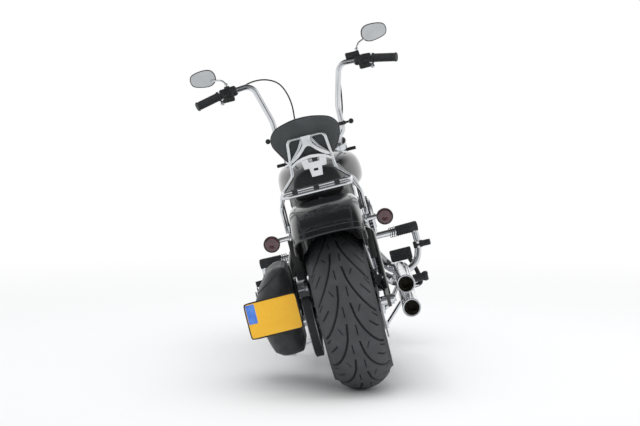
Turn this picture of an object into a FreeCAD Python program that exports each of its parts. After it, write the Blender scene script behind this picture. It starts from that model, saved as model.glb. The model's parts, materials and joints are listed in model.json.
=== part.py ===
# A chopper motorcycle parked on its side stand, in millimetres.
# It is drawn upright: X to the rider's right, Y forward, Z up, with the origin on the ground
# under the rear axle. The last step leans every piece to the left, onto the side stand.
import FreeCAD, Part
import Sketcher
import math
import os
from types import SimpleNamespace
from FreeCAD import Placement, Rotation, Vector

os.makedirs("parts", exist_ok=True)
doc = FreeCAD.newDocument("chopper")

# Driving dimensions: name, value, meaning
SIZES = [
    ("wheelbase", 1710, "rear axle to front axle"),
    ("lean", 14.1, "lean to the left on the side stand, degrees"),
    ("rake", 35, "steering axis from the vertical, degrees"),
    ("trail", 145, "steering axis ahead of the front contact"),
    ("fit", 0.3, "gap between seated or running surfaces"),
    ("rear_tyre_radius", 325, ""),
    ("rear_tyre_half", 120, "half of the tyre's width"),
    ("rear_crown", 135, "radius of the tread's crown"),
    ("rear_crown_half", 100, "half of the tread's width"),
    ("rear_rim_radius", 229, "bead seat"),
    ("rear_rim_half", 112, "half width over the rim flanges"),
    ("front_tyre_radius", 345, ""),
    ("front_tyre_half", 65, "half of the tyre's width"),
    ("front_crown", 72, "radius of the tread's crown"),
    ("front_crown_half", 57, "half of the tread's width"),
    ("front_rim_radius", 267, "bead seat"),
    ("front_rim_half", 52, "half width over the rim flanges"),
    ("flange", 6, "thickness and height step of a rim flange"),
    ("rim_depth", 22, "rim barrel from bead seat inward"),
    ("hub_radius", 46, ""),
    ("axle_radius", 12.5, ""),
    ("web_hub_half", 30, "half thickness of the spokes at the hub"),
    ("web_rim_half", 17, "half thickness of the spokes at the rim"),
    ("spoke_pairs", 5, "split spokes round a wheel"),
    ("rear_hub_left", 137, "hub end on the pulley side"),
    ("rear_hub_right", 126, "hub end on the disc side"),
    ("front_hub_half", 62, "hub end on both sides"),
    ("disc_radius", 146, "both brake discs"),
    ("disc_wall", 6, "thickness of a brake disc"),
    ("pulley_radius", 147, "rear pulley at the belt"),
    ("pulley_width", 36, ""),
    ("front_pulley_radius", 70, ""),
    ("belt_width", 30, ""),
    ("belt_wall", 7, ""),
    ("shaft_y", 640, "gearbox shaft ahead of the rear axle"),
    ("shaft_z", 330, "gearbox shaft above the ground"),
    ("pivot_y", 528, "swingarm pivot ahead of the rear axle"),
    ("pivot_z", 330, "swingarm pivot above the ground"),
    ("pivot_half", 127, "frame's pivot tube, half length"),
    ("arm_left_x", 195, "left swingarm tube from the middle"),
    ("arm_right_x", 165, "right swingarm tube from the middle"),
    ("arm_radius", 14, "swingarm tube"),
    ("rail_x", 112, "lower frame rails from the middle"),
    ("rail_z", 150, "lower frame rails above the ground"),
    ("rail_front_y", 1192, "foot of the front down tubes"),
    ("rail_radius", 17.5, "frame tube"),
    ("backbone_radius", 26, "tube under the fuel tank"),
    ("backbone_rear_y", 720, "rear end of the straight backbone"),
    ("backbone_rear_z", 778, ""),
    ("seat_bar_y", 560, "cross tube under the seat"),
    ("seat_bar_z", 630, ""),
    ("seat_bar_radius", 14, ""),
    ("neck_radius", 34, "steering neck"),
    ("neck_bore", 24, "inside of the neck"),
    ("stem_radius", 17, "steering stem"),
    ("clamp_low", 500, "lower clamp's underside along the fork from the axle"),
    ("clamp_high", 705, "upper clamp's underside along the fork from the axle"),
    ("clamp_wall", 34, "thickness of the clamps"),
    ("leg_x", 115, "fork legs from the middle"),
    ("leg_radius", 24.5, "fork tube"),
    ("slider_radius", 31, ""),
    ("slider_top", 372, "slider's upper end along the fork"),
    ("clamp_ring", 37, "clamp's radius round a leg"),
    ("stem_ring", 28, "clamp's radius round the stem"),
    ("engine_y", 905, "crankshaft ahead of the rear axle"),
    ("engine_z", 320, "crankshaft above the ground"),
    ("v_half", 22.5, "half of the angle between the cylinders, degrees"),
    ("case_half", 80, "engine case half width"),
    ("deck", 160, "crankshaft to the foot of a barrel"),
    ("barrel", 115, "barrel height"),
    ("head", 105, "cylinder head height"),
    ("rocker", 38, "rocker box height"),
    ("fin_radius", 66, ""),
    ("fin_wall", 4.5, "thickness of a cooling fin"),
    ("fin_pitch", 13, "one cooling fin to the next"),
    ("bore_radius", 54, "barrel between the fins"),
    ("fender_y", 20, "rear fender's centre"),
    ("fender_z", 350, ""),
    ("fender_radius", 440, "outside of the rear fender"),
    ("fender_half", 142, "half width of the rear fender"),
    ("fender_wall", 4, ""),
    ("fender_edge", 345, "radius to the lower edge of the fender's sides"),
    ("fender_front_angle", 25, "fender's front edge above the level, degrees"),
    ("fender_rear_angle", 46, "fender's rear edge above the level, degrees"),
    ("strut_wall", 8, "thickness of a fender strut"),
    ("front_fender_radius", 372, ""),
    ("front_fender_half", 79, ""),
    ("tank_top", 926, ""),
    ("tank_bottom", 737, ""),
    ("tank_half", 190, "half width of the fuel tank"),
    ("tank_front_y", 1184, ""),
    ("tank_rear_y", 692, ""),
    ("bar_radius", 13, "handlebar tube"),
    ("bar_base_x", 152, "handlebar's uprights from the middle, at the foot"),
    ("bar_top_x", 205, "handlebar's uprights from the middle, at the top"),
    ("bar_base_z", 972, ""),
    ("bar_top_z", 1300, ""),
    ("bar_end_x", 460, "half width of the bars"),
    ("bar_end_y", 1128.7, ""),
    ("bar_end_z", 1265, ""),
    ("grip_radius", 19, ""),
    ("grip_length", 110, ""),
    ("lamp_radius", 77, "headlamp"),
    ("lamp_y", 1447, ""),
    ("lamp_z", 850, ""),
    ("muffler_radius", 36, ""),
    ("muffler_x", 247, "mufflers from the middle"),
    ("muffler_top_z", 376, ""),
    ("muffler_low_z", 278, ""),
    ("muffler_end_y", -60, "rear end of the mufflers"),
    ("muffler_front_y", 560, ""),
    ("pipe_radius", 22, ""),
    ("guard_radius", 16, "engine guard tube"),
    ("guard_x", 362, "half width of the engine guard"),
    ("guard_y", 1340, "engine guard's outer corner"),
    ("guard_z", 476, "engine guard's upper tube"),
    ("sleeve_radius", 23, "rubber sleeves on the guard"),
    ("peg_y", 1395, "rider's pegs"),
    ("peg_z", 232, ""),
    ("peg_end_x", 374, ""),
    ("peg_radius", 19, ""),
    ("sissy_radius", 7, "upright behind the passenger"),
    ("sissy_top_z", 1049, ""),
    ("sissy_top_x", 76, ""),
    ("pad_half", 145, "back pad's half width"),
    ("pad_low_z", 952, ""),
    ("pad_top_z", 1120, ""),
    ("pad_wall", 58, "back pad's thickness"),
    ("rack_z", 842, "luggage rack"),
    ("rack_x", 138, ""),
    ("rack_rear_y", -318, ""),
    ("rack_radius", 7.5, ""),
    ("lamp_bullet", 33, "rear indicator's radius"),
    ("indicator_x", 230, ""),
    ("indicator_z", 664, ""),
    ("plate_width", 213, ""),
    ("plate_height", 146, ""),
    ("plate_x", 295, "plate's middle left of the bike's middle"),
    ("plate_z", 384, ""),
    ("plate_y", -108, ""),
    ("bag_top_z", 552, ""),
    ("bag_low_z", 186, ""),
    ("bag_inner_x", 209.3, ""),
    ("stand_x", 152, "side stand pivot left of the middle"),
    ("stand_y", 900, ""),
    ("stand_z", 135.5, ""),
    ("stand_tilt", 20, "stand axis from the vertical, degrees"),
    ("foot_x", 325, "stand foot left of the middle"),
    ("foot_y", 960, ""),
    ("foot_radius", 27, ""),
    ("foot_wall", 8, ""),
    ("mirror_x", 408, ""),
    ("mirror_z", 1391, ""),
    ("mirror_shift", 11, "the left mirror is set further out and lower than the right one"),
    ("reservoir_height", 28, ""),
    ("cord_radius", 3.5, "clutch cable and brake line"),
    ("stud_long", 38.5, "dock studs' bare pins, from the collar to the rounded end"),
    ("stud_step", 1, "right stud lower and left stud higher on its leg by this"),
]

sheet = doc.addObject("Spreadsheet::Sheet", "sizes")
for row, (alias, value, meaning) in enumerate(SIZES, start=1):
    sheet.set(f"A{row}", meaning or alias)
    sheet.set(f"B{row}", str(value))
    sheet.setAlias(f"B{row}", alias)
doc.recompute()


class Value(float):
    """A number that remembers the formula of sheet cells that it came from."""

    def __new__(cls, number, formula):
        made = super().__new__(cls, number)
        made.formula = formula
        return made

    def __add__(self, other):
        return Value(float(self) + float(other), f"({self.formula} + {written(other)})")

    def __radd__(self, other):
        return Value(float(other) + float(self), f"({written(other)} + {self.formula})")

    def __sub__(self, other):
        return Value(float(self) - float(other), f"({self.formula} - {written(other)})")

    def __rsub__(self, other):
        return Value(float(other) - float(self), f"({written(other)} - {self.formula})")

    def __mul__(self, other):
        return Value(float(self) * float(other), f"({self.formula} * {written(other)})")

    __rmul__ = __mul__

    def __truediv__(self, other):
        return Value(float(self) / float(other), f"({self.formula} / {written(other)})")

    def __neg__(self):
        return Value(-float(self), f"(0 - {self.formula})")


def written(number):
    return number.formula if isinstance(number, Value) else f"({float(number)!r})"


def root(number):
    return Value(math.sqrt(float(number)), f"sqrt({written(number)})")


v = SimpleNamespace(**{alias: Value(float(sheet.get(alias)), f"sizes.{alias}") for alias, _, _ in SIZES})


def bind(thing, name, value):
    """Set a size, and tie it to the sheet where it comes from there."""
    if isinstance(value, Value):
        thing.setExpression(name, value.formula)
    else:
        setattr(thing, name, value)


def put(thing, at, turn=None):
    thing.Placement = Placement(Vector(*at), turn or Rotation())
    for axis, value in zip("xyz", at):
        if isinstance(value, Value):
            thing.setExpression(f"Placement.Base.{axis}", value.formula)
    return thing


# Simple solids
def block(name, size, at, turn=None):
    made = doc.addObject("Part::Box", name)
    for side, value in zip(("Length", "Width", "Height"), size):
        bind(made, side, value)
    return put(made, at, turn)


def rod(name, radius, length, at, along=(0, 0, 1)):
    made = doc.addObject("Part::Cylinder", name)
    bind(made, "Radius", radius)
    bind(made, "Height", length)
    return put(made, at, Rotation(Vector(0, 0, 1), Vector(*along)))


def bar(name, radius, start, end):
    """A round bar between two points."""
    way = Vector(*end) - Vector(*start)
    return rod(name, radius, way.Length, start, way)


def fuse(name, pieces):
    made = doc.addObject("Part::MultiFuse", name)
    made.Shapes = pieces
    return made


def cut(name, base, tool):
    made = doc.addObject("Part::Cut", name)
    made.Base, made.Tool = base, tool
    return made


def group(name, pieces):
    made = doc.addObject("Part::Compound", name)
    made.Links = pieces
    return made


def shaped(name, shape):
    made = doc.addObject("Part::Feature", name)
    made.Shape = shape
    return made


# Sketched solids
def plane_of(body, role):
    return next(part for part in body.Origin.OriginFeatures if part.Role == role)


def sketch_on(body, role, outlines):
    """Draw closed outlines. A point is (x, y), or (x, y, radius, side) where an arc leads to it;
    side is 1 where the arc's centre lies left of the way there, and -1 where it lies right."""
    sketch = body.newObject("Sketcher::SketchObject", "outline")
    sketch.AttachmentSupport = [(plane_of(body, role), "")]
    sketch.MapMode = "FlatFace"
    for outline in outlines:
        ends = []
        for here, there in zip(outline, outline[1:] + outline[:1]):
            a, b = Vector(here[0], here[1], 0), Vector(there[0], there[1], 0)
            if len(there) == 2:
                edge = sketch.addGeometry(Part.LineSegment(a, b), False)
            else:
                edge = sketch.addGeometry(arc_between(a, b, float(there[2]), there[3]), False)
                size = sketch.addConstraint(Sketcher.Constraint("Radius", edge, float(there[2])))
                if isinstance(there[2], Value):
                    sketch.setExpression(f"Constraints[{size}]", there[2].formula)
            first = 1 if (sketch.getPoint(edge, 1) - a).Length < 1e-6 else 2
            ends.append((edge, first, 3 - first))
        for number, (edge, first, _) in enumerate(ends):
            before, _, last = ends[number - 1]
            sketch.addConstraint(Sketcher.Constraint("Coincident", before, last, edge, first))
            for kind, value in zip(("DistanceX", "DistanceY"), outline[number][:2]):
                size = sketch.addConstraint(Sketcher.Constraint(kind, -1, 1, edge, first, float(value)))
                if isinstance(value, Value):
                    sketch.setExpression(f"Constraints[{size}]", value.formula)
    return sketch


def arc_between(a, b, radius, side):
    way = b - a
    left = Vector(-way.y, way.x, 0).normalize()
    rise = math.sqrt(max(radius ** 2 - way.Length ** 2 / 4, 0))
    centre = (a + b) / 2 + left * rise * side
    middle = centre - left * radius * side
    return Part.Arc(a, middle, b)


def turned(name, outline, at=(0, 0, 0), turn=None, role="XY_Plane", axis="H_Axis", angles=None):
    """A body turned from an outline, a whole turn unless two angles are given."""
    body = doc.addObject("PartDesign::Body", name)
    sketch = sketch_on(body, role, [outline])
    spun = body.newObject("PartDesign::Revolution", "turned")
    spun.Profile = sketch
    spun.ReferenceAxis = (sketch, [axis])
    if angles is None:
        spun.Angle = 360
    else:
        spun.Type = "TwoAngles"
        bind(spun, "Angle", angles[0])
        bind(spun, "Angle2", angles[1])
    return put(body, at, turn)


def padded(name, outlines, depth, at=(0, 0, 0), turn=None, role="XY_Plane", middle=False):
    """A body padded from closed outlines, on one side of its plane or on both."""
    body = doc.addObject("PartDesign::Body", name)
    sketch = sketch_on(body, role, outlines)
    pad = body.newObject("PartDesign::Pad", "padded")
    pad.Profile = sketch
    pad.Midplane = middle
    bind(pad, "Length", depth)
    return put(body, at, turn)


def softened(body, radius, chosen):
    """Round the chosen edges of a body."""
    doc.recompute()
    tip = body.Tip
    names = [f"Edge{count}" for count, edge in enumerate(tip.Shape.Edges, start=1) if chosen(edge)]
    fillet = body.newObject("PartDesign::Fillet", "softened")
    fillet.Base = (tip, names)
    bind(fillet, "Radius", radius)
    return body


# Bent tubes
def bent(points, bends):
    """A wire of straight runs joined by tangent arcs."""
    points = [Vector(*point) for point in points]
    edges, start = [], points[0]
    for before, corner, after, radius in zip(points, points[1:], points[2:], bends):
        back, on = (before - corner).normalize(), (after - corner).normalize()
        half = back.getAngle(on) / 2
        reach = radius / math.tan(half)
        middle = corner + (back + on).normalize() * (radius / math.sin(half) - radius)
        edges.append(Part.LineSegment(start, corner + back * reach).toShape())
        edges.append(Part.Arc(corner + back * reach, middle, corner + on * reach).toShape())
        start = corner + on * reach
    edges.append(Part.LineSegment(start, points[-1]).toShape())
    return Part.Wire(edges)


def tube(name, radius, points, bends):
    wire = bent(points, bends)
    start = Vector(*points[0])
    ring = Part.Wire(Part.makeCircle(float(radius), start, Vector(*points[1]) - start))
    return shaped(name, wire.makePipe(Part.Face(ring)))


def mirrored(points):
    return [(-x, y, z) for x, y, z in points]


def both(points):
    """The points of a tube that runs from the left end to the right end through the middle."""
    return mirrored(points[::-1]) + list(points)


# The steered frame of reference: x right, ahead and up the fork from the front axle
rake = math.radians(v.rake)
offset = v.front_tyre_radius * math.sin(rake) - v.trail * math.cos(rake)
FORK = Placement(Vector(0, v.wheelbase, v.front_tyre_radius), Rotation(Vector(1, 0, 0), float(v.rake)))
STEM = -offset
STUD_FOOT = v.leg_x + v.leg_radius + 9


def fork_point(x, ahead, up):
    return tuple(FORK.multVec(Vector(x, ahead, up)))


def moved(made, place):
    """Carry a solid with its own place to another frame of reference."""
    own = made.Placement
    for axis in "xyz":
        made.setExpression(f"Placement.Base.{axis}", None)
    made.Placement = place.multiply(own)
    return made


def on_fork(made):
    return moved(made, FORK)


NODES = {}


def node(name, made):
    made.Label = name
    NODES[name] = made
    return made


# Wheels
def tyre(name, radius, half, crown, crown_half, rim_radius, rim_half, at):
    """A tyre between its rim flanges: crown, shoulders, walls and beads."""
    shoulder = radius - crown + root(crown * crown - crown_half * crown_half)
    bead = rim_half - v.flange - v.fit
    foot = rim_radius + v.fit
    wall = shoulder - 20
    outline = [
        (-bead, foot), (-bead, foot + 12), (-half, wall, 45, -1), (-crown_half, shoulder, 30, -1),
        (crown_half, shoulder, crown, -1), (half, wall, 30, -1), (bead, foot + 12, 45, -1), (bead, foot),
    ]
    return node(name, turned(name, outline, at))


def rim(name, radius, half, hub_left, hub_right, at):
    """A cast wheel: rim barrel, hub and a web that is opened into split spokes."""
    inside = radius - v.rim_depth
    lip = radius + v.flange
    bore = v.axle_radius + v.fit
    body = turned(name, [
        (-hub_left, bore), (-hub_left, v.hub_radius), (-v.web_hub_half, v.hub_radius),
        (-v.web_rim_half, inside), (-half, inside + 8), (-half, lip), (v.flange - half, lip),
        (v.flange - half, radius), (half - v.flange, radius), (half - v.flange, lip), (half, lip),
        (half, inside + 8), (v.web_rim_half, inside), (v.web_hub_half, v.hub_radius),
        (hub_right, v.hub_radius), (hub_right, bore),
    ], at)
    step = 360 / v.spoke_pairs
    near, far = v.hub_radius + 16, inside - 10
    for low, start, end, flare in ((near, 0.2, 0.8, 5), (near + 38, -0.07, 0.07, 1)):
        first, last, side = (math.radians(angle) for angle in (step * start, step * end, flare))
        corners = [(low, first + side), (far, first - side), (far, last + side), (low, last - side)]
        points = [(-distance * math.sin(angle), distance * math.cos(angle)) for distance, angle in corners]
        window = sketch_on(body, "YZ_Plane", [points])
        opened = body.newObject("PartDesign::Pocket", "window")
        opened.Profile = window
        opened.Type = "ThroughAll"
        opened.Midplane = True
        pattern = body.newObject("PartDesign::PolarPattern", "windows")
        pattern.Originals = [opened]
        pattern.Axis = (plane_of(body, "X_Axis"), [""])
        pattern.Angle = 360
        bind(pattern, "Occurrences", v.spoke_pairs)
        body.Tip = pattern
    return node(name, body)


def disc(name, inner_face, side, at):
    """A brake disc with a row of round holes, bolted to the hub's end."""
    body = turned(name, [
        (side * inner_face, v.axle_radius + 8), (side * inner_face, v.disc_radius),
        (side * (inner_face + v.disc_wall), v.disc_radius), (side * (inner_face + v.disc_wall), v.axle_radius + 8),
    ], at)
    ring = v.disc_radius - 62
    holes = sketch_on(body, "YZ_Plane", [
        [(ring - 12, 8), (ring + 12, 8, 13, -1), (ring + 12, -8), (ring - 12, -8, 13, -1)],
    ])
    opened = body.newObject("PartDesign::Pocket", "slot")
    opened.Profile = holes
    opened.Type = "ThroughAll"
    opened.Midplane = True
    pattern = body.newObject("PartDesign::PolarPattern", "slots")
    pattern.Originals = [opened]
    pattern.Axis = (plane_of(body, "X_Axis"), [""])
    pattern.Angle = 360
    pattern.Occurrences = 8
    body.Tip = pattern
    return node(name, body)


rear_axle_at = (0, 0, v.rear_tyre_radius)
front_axle_at = (0, v.wheelbase, v.front_tyre_radius)


def wheels():
    tyre("rear_tyre", v.rear_tyre_radius, v.rear_tyre_half, v.rear_crown, v.rear_crown_half,
         v.rear_rim_radius, v.rear_rim_half, rear_axle_at)
    tyre("front_tyre", v.front_tyre_radius, v.front_tyre_half, v.front_crown, v.front_crown_half,
         v.front_rim_radius, v.front_rim_half, front_axle_at)
    rim("rear_rim", v.rear_rim_radius, v.rear_rim_half, v.rear_hub_left, v.rear_hub_right, rear_axle_at)
    rim("front_rim", v.front_rim_radius, v.front_rim_half, v.front_hub_half, v.front_hub_half, front_axle_at)
    disc("rear_disc", v.rear_hub_right, 1, rear_axle_at)
    disc("front_disc", v.front_hub_half, -1, front_axle_at)
    bore = v.axle_radius + v.fit
    face = v.rear_hub_left
    pulley = turned("rear_pulley", [
        (-face - v.pulley_width, bore), (-face - v.pulley_width, 52), (-face - 14, 70),
        (-face - 14, v.pulley_radius - 16), (-face - v.pulley_width, v.pulley_radius - 10),
        (-face - v.pulley_width, v.pulley_radius), (-face, v.pulley_radius), (-face, bore),
    ], rear_axle_at)
    node("rear_pulley", pulley)


# Frame
def cradle_path(side):
    """One side of the frame: down tube, lower rail and the upright behind the engine."""
    low = v.rail_z
    x = side * v.rail_x
    top = fork_point(side * 20, STEM - v.neck_radius + 4, v.clamp_low + v.clamp_wall + 56)
    return [
        top, (side * 62, 1246, 560), (x, v.rail_front_y, low), (x, v.pivot_y, low),
        (x - side * 3, v.pivot_y, v.pivot_z), (side * 85, v.pivot_y + 4, v.pivot_z + 105),
        (side * 42, v.seat_bar_y + 6, v.seat_bar_z), (0, v.seat_bar_y + 32, v.seat_bar_z + 30),
    ]


CRADLE_BENDS = (300, 85, 70, 160, 150, 60)
BACKBONE = [
    fork_point(0, STEM - 20, (v.clamp_low + v.clamp_high + v.clamp_wall) / 2 + 30),
    (0, v.backbone_rear_y, v.backbone_rear_z), (0, v.seat_bar_y + 32, v.seat_bar_z + 14),
]


def neck():
    low = v.clamp_low + v.clamp_wall + v.fit + 0.2
    length = v.clamp_high - v.fit - 0.2 - low
    shell = rod("neck_shell", v.neck_radius, length, (0, STEM, low))
    bore = rod("neck_bore", v.neck_bore, length + 80, (0, STEM, low - 40))
    return on_fork(shell), on_fork(bore)


def stand_place():
    """The stand's own frame: z along its pivot, tilted to the left."""
    at = Vector(-v.stand_x, v.stand_y, v.stand_z)
    return Placement(at, Rotation(Vector(0, 1, 0), -float(v.stand_tilt)))


EAR_GAP = 12


def stand_ears():
    """Two plates on the left rail that hold the stand's pin."""
    ears = []
    for number, low in enumerate((EAR_GAP + v.fit, -EAR_GAP - v.fit - 9)):
        ear = padded(f"stand_ear_{number}", [[
            (0, -17, 17.5, 1), (52, -24), (52, 24), (0, 17),
        ]], 9, (0, 0, low))
        pin_hole = rod(f"stand_hole_{number}", 7 + v.fit, 40, (0, 0, low - 10))
        ear = cut(f"stand_plate_{number}", ear, pin_hole)
        ears.append(moved(ear, stand_place()))
    return ears


def frame():
    shell, bore = neck()
    loops = [tube(f"cradle_{side}", v.rail_radius, cradle_path(side), CRADLE_BENDS) for side in (-1, 1)]
    backbone = tube("backbone", v.backbone_radius, BACKBONE, (70,))
    x = v.rail_x
    bars = [
        rod("pivot_tube", 18, 2 * v.pivot_half, (-v.pivot_half, v.pivot_y, v.pivot_z), (1, 0, 0)),
        rod("seat_bar", v.seat_bar_radius, 2 * v.fender_half, (-v.fender_half, v.seat_bar_y, v.seat_bar_z), (1, 0, 0)),
        rod("front_mount", 14, 2 * x, (-x, v.engine_y + 105, v.rail_z + 2), (1, 0, 0)),
        rod("rear_mount", 14, 2 * x, (-x, v.engine_y - 105, v.rail_z + 2), (1, 0, 0)),
    ]
    whole = fuse("frame_tubes", [shell, backbone] + loops + bars + stand_ears())
    return node("frame", cut("frame", whole, bore))


def upper_arm(name, side, x, grow=0):
    """The upper swingarm tube on one side, grown where it is used to cut a seat for it."""
    return tube(name, v.arm_radius + grow, [
        (side * x, 0, v.rear_tyre_radius + 12), (side * x, 320, 522), (side * (x + 163) / 2, 432, 580),
        (side * 108, 480, 592),
    ], (90, 70))


def swingarm():
    """Triangulated rear fork: a lower and an upper tube on each side, joined over the tyre's front."""
    pieces, faces = [], []
    for side, x in ((-1, v.arm_left_x), (1, v.arm_right_x)):
        inner = v.pivot_half + v.fit
        boss = rod(f"pivot_boss_{side}", 22, 30, (side * inner, v.pivot_y, v.pivot_z), (side, 0, 0))
        lower = tube(f"lower_arm_{side}", v.arm_radius, [
            (side * (inner + 15), v.pivot_y, v.pivot_z), (side * x, v.pivot_y - 120, v.pivot_z - 2),
            (side * x, -18, v.rear_tyre_radius),
        ], (120,))
        upper = upper_arm(f"upper_arm_{side}", side, x)
        upright = tube(f"upright_{side}", v.arm_radius - 4, [
            (side * (inner + 12), v.pivot_y - 6, v.pivot_z + 6), (side * 126, 490, 400), (side * 108, 480, 592),
        ], (90,))
        for low in (x - 27, x + 7):
            start = low if side > 0 else -low - 20
            faces.append(rod(f"axle_face_{side}_{int(low)}", 24, 20, (start, 0, v.rear_tyre_radius),
                             (1, 0, 0)))
        plate = padded(f"axle_plate_{side}", [[
            (-42, -24), (40, -24), (58, 34), (30, 44), (-42, 24),
        ]], 14, (side * x - 7, 0, v.rear_tyre_radius), Rotation(Vector(1, 1, 1), 120))
        pieces += [boss, lower, upper, upright, plate]
    pieces.append(rod("arm_bridge", v.arm_radius, 216, (-108, 480, 592), (1, 0, 0)))
    whole = fuse("arm_tubes", pieces)
    hole = rod("arm_hole", v.axle_radius + v.fit, 500, (-250, 0, v.rear_tyre_radius), (1, 0, 0))
    return node("swingarm", cut("swingarm", whole, fuse("arm_faces", faces + [hole])))


def rear_axle():
    """The rear axle with its spacers, nuts and end covers."""
    z = v.rear_tyre_radius
    left_out, right_out = v.arm_left_x + 7, v.arm_right_x + 7
    left_in, right_in = v.arm_left_x - 7, v.arm_right_x - 7
    pulley_end = v.rear_hub_left + v.pulley_width
    disc_end = v.rear_hub_right + v.disc_wall
    f = v.fit
    pieces = [
        rod("axle_rod", v.axle_radius, left_out + right_out + 20, (-left_out - 10, 0, z), (1, 0, 0)),
        rod("left_spacer", 19, left_in - pulley_end - 2 * f, (f - left_in, 0, z), (1, 0, 0)),
        rod("right_spacer", 19, right_in - disc_end - 2 * f, (disc_end + f, 0, z), (1, 0, 0)),
        rod("left_cap", 21, 14, (-left_out - f - 14, 0, z), (1, 0, 0)),
        rod("right_cap", 21, 14, (right_out + f, 0, z), (1, 0, 0)),
    ]
    return node("rear_axle", fuse("rear_axle", pieces))


def fork():
    leg_outline = [
        (0, -50), (20, -50), (31, -34), (v.slider_radius, v.slider_top - 14), (v.leg_radius + 3, v.slider_top),
        (v.leg_radius, v.slider_top), (v.leg_radius, v.clamp_high + v.clamp_wall + 14),
        (v.leg_radius - 6, v.clamp_high + v.clamp_wall + 20), (0, v.clamp_high + v.clamp_wall + 20),
    ]
    legs = []
    for side in (-1, 1):
        leg = turned(f"leg_{side}", leg_outline, (side * v.leg_x, 0, 0), role="XZ_Plane", axis="V_Axis")
        inner = v.leg_x - v.slider_radius
        spacer = rod(f"axle_spacer_{side}", 18, 30, (side * (v.front_hub_half + v.fit + v.disc_wall * (side < 0)), 0, 0),
                     (side, 0, 0))
        legs += [leg, spacer]
    span = 2 * (v.leg_x + v.slider_radius + 6)
    legs.append(rod("front_axle", v.axle_radius, span, (-span / 2, 0, 0), (1, 0, 0)))
    node("fork_legs", on_fork(fuse("fork_legs", legs)))

    pieces, holes = [], []
    for name, low in (("low", v.clamp_low), ("high", v.clamp_high)):
        for side in (-1, 1):
            pieces.append(rod(f"{name}_ring_{side}", v.clamp_ring, v.clamp_wall, (side * v.leg_x, 0, low)))
            arm = padded(f"{name}_arm_{side}", [[
                (0, STEM - v.stem_ring + 6), (side * 30, STEM - v.stem_ring + 8), (side * v.leg_x, -v.clamp_ring),
                (side * (v.leg_x - 22), v.clamp_ring - 8), (0, STEM + v.stem_ring + 16),
            ]], v.clamp_wall, (0, 0, low))
            pieces.append(arm)
        pieces.append(rod(f"{name}_centre", v.stem_ring, v.clamp_wall, (0, STEM, low)))
    for side in (-1, 1):
        holes.append(rod(f"leg_hole_{side}", v.leg_radius + v.fit, 400, (side * v.leg_x, 0, v.clamp_low - 50)))
    pieces.append(rod("stem", v.stem_radius, v.clamp_high - v.clamp_low + v.clamp_wall, (0, STEM, v.clamp_low)))
    clamps = cut("triple_clamps", fuse("clamp_plates", pieces), fuse("leg_holes", holes))
    node("triple_clamps", on_fork(clamps))


def bar_tube(name, grow=0):
    """The bent handlebar tube, grown where it is used to cut a bore for it."""
    y = fork_point(0, STEM + 30, v.clamp_high + v.clamp_wall + 62)[1]
    path = both([
        (v.bar_base_x, y, v.bar_base_z), (v.bar_base_x + 2, y - 4, v.bar_base_z + 140),
        (v.bar_top_x, y - 20, v.bar_top_z), (345, y - 38, v.bar_top_z - 10), (v.bar_end_x, v.bar_end_y, v.bar_end_z),
    ])
    return tube(name, v.bar_radius + grow, path, (150, 48, 160, 48, 48, 160, 48, 150))


def handlebar():
    base = fork_point(0, STEM + 30, v.clamp_high + v.clamp_wall + 62)
    y = base[1]
    bars = bar_tube("bar_tube")
    risers = []
    for side in (-1, 1):
        foot = (side * 45, STEM + 30, v.clamp_high + v.clamp_wall)
        risers.append(on_fork(rod(f"riser_{side}", 15, 62, foot)))
        risers.append(rod(f"riser_clamp_{side}", 24, 26, (side * 45 - 13, y, v.bar_base_z), (1, 0, 0)))
    node("handlebar", fuse("handlebar", [bars] + risers))
    grips = []
    for side in (-1, 1):
        inner = Vector(side * 345, y - 38, v.bar_top_z - 10)
        end = Vector(side * v.bar_end_x, v.bar_end_y, v.bar_end_z)
        way = (end - inner).normalize()
        start = end + way * 3 - way * v.grip_length
        shell = turned(f"grip_{side}", [
            (v.bar_radius + v.fit, 0), (v.grip_radius + 4, 0), (v.grip_radius + 4, 6), (v.grip_radius, 8),
            (v.grip_radius, v.grip_length - 2), (v.grip_radius + 3, v.grip_length),
            (v.grip_radius + 1, v.grip_length + 6), (0, v.grip_length + 6), (0, v.grip_length - 3 + v.fit),
            (v.bar_radius + v.fit, v.grip_length - 3 + v.fit),
        ], tuple(start), Rotation(Vector(0, 0, 1), way), role="XZ_Plane", axis="V_Axis")
        grips.append(shell)
    node("grips", group("grips", grips))


def engine_frame(side):
    """A cylinder's own frame: z up its bore from the crankshaft, x right."""
    at = Vector(0, v.engine_y, v.engine_z)
    return Placement(at, Rotation(Vector(1, 0, 0), -float(v.v_half) * side))


CROSS = Rotation(Vector(1, 1, 1), 120)


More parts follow.
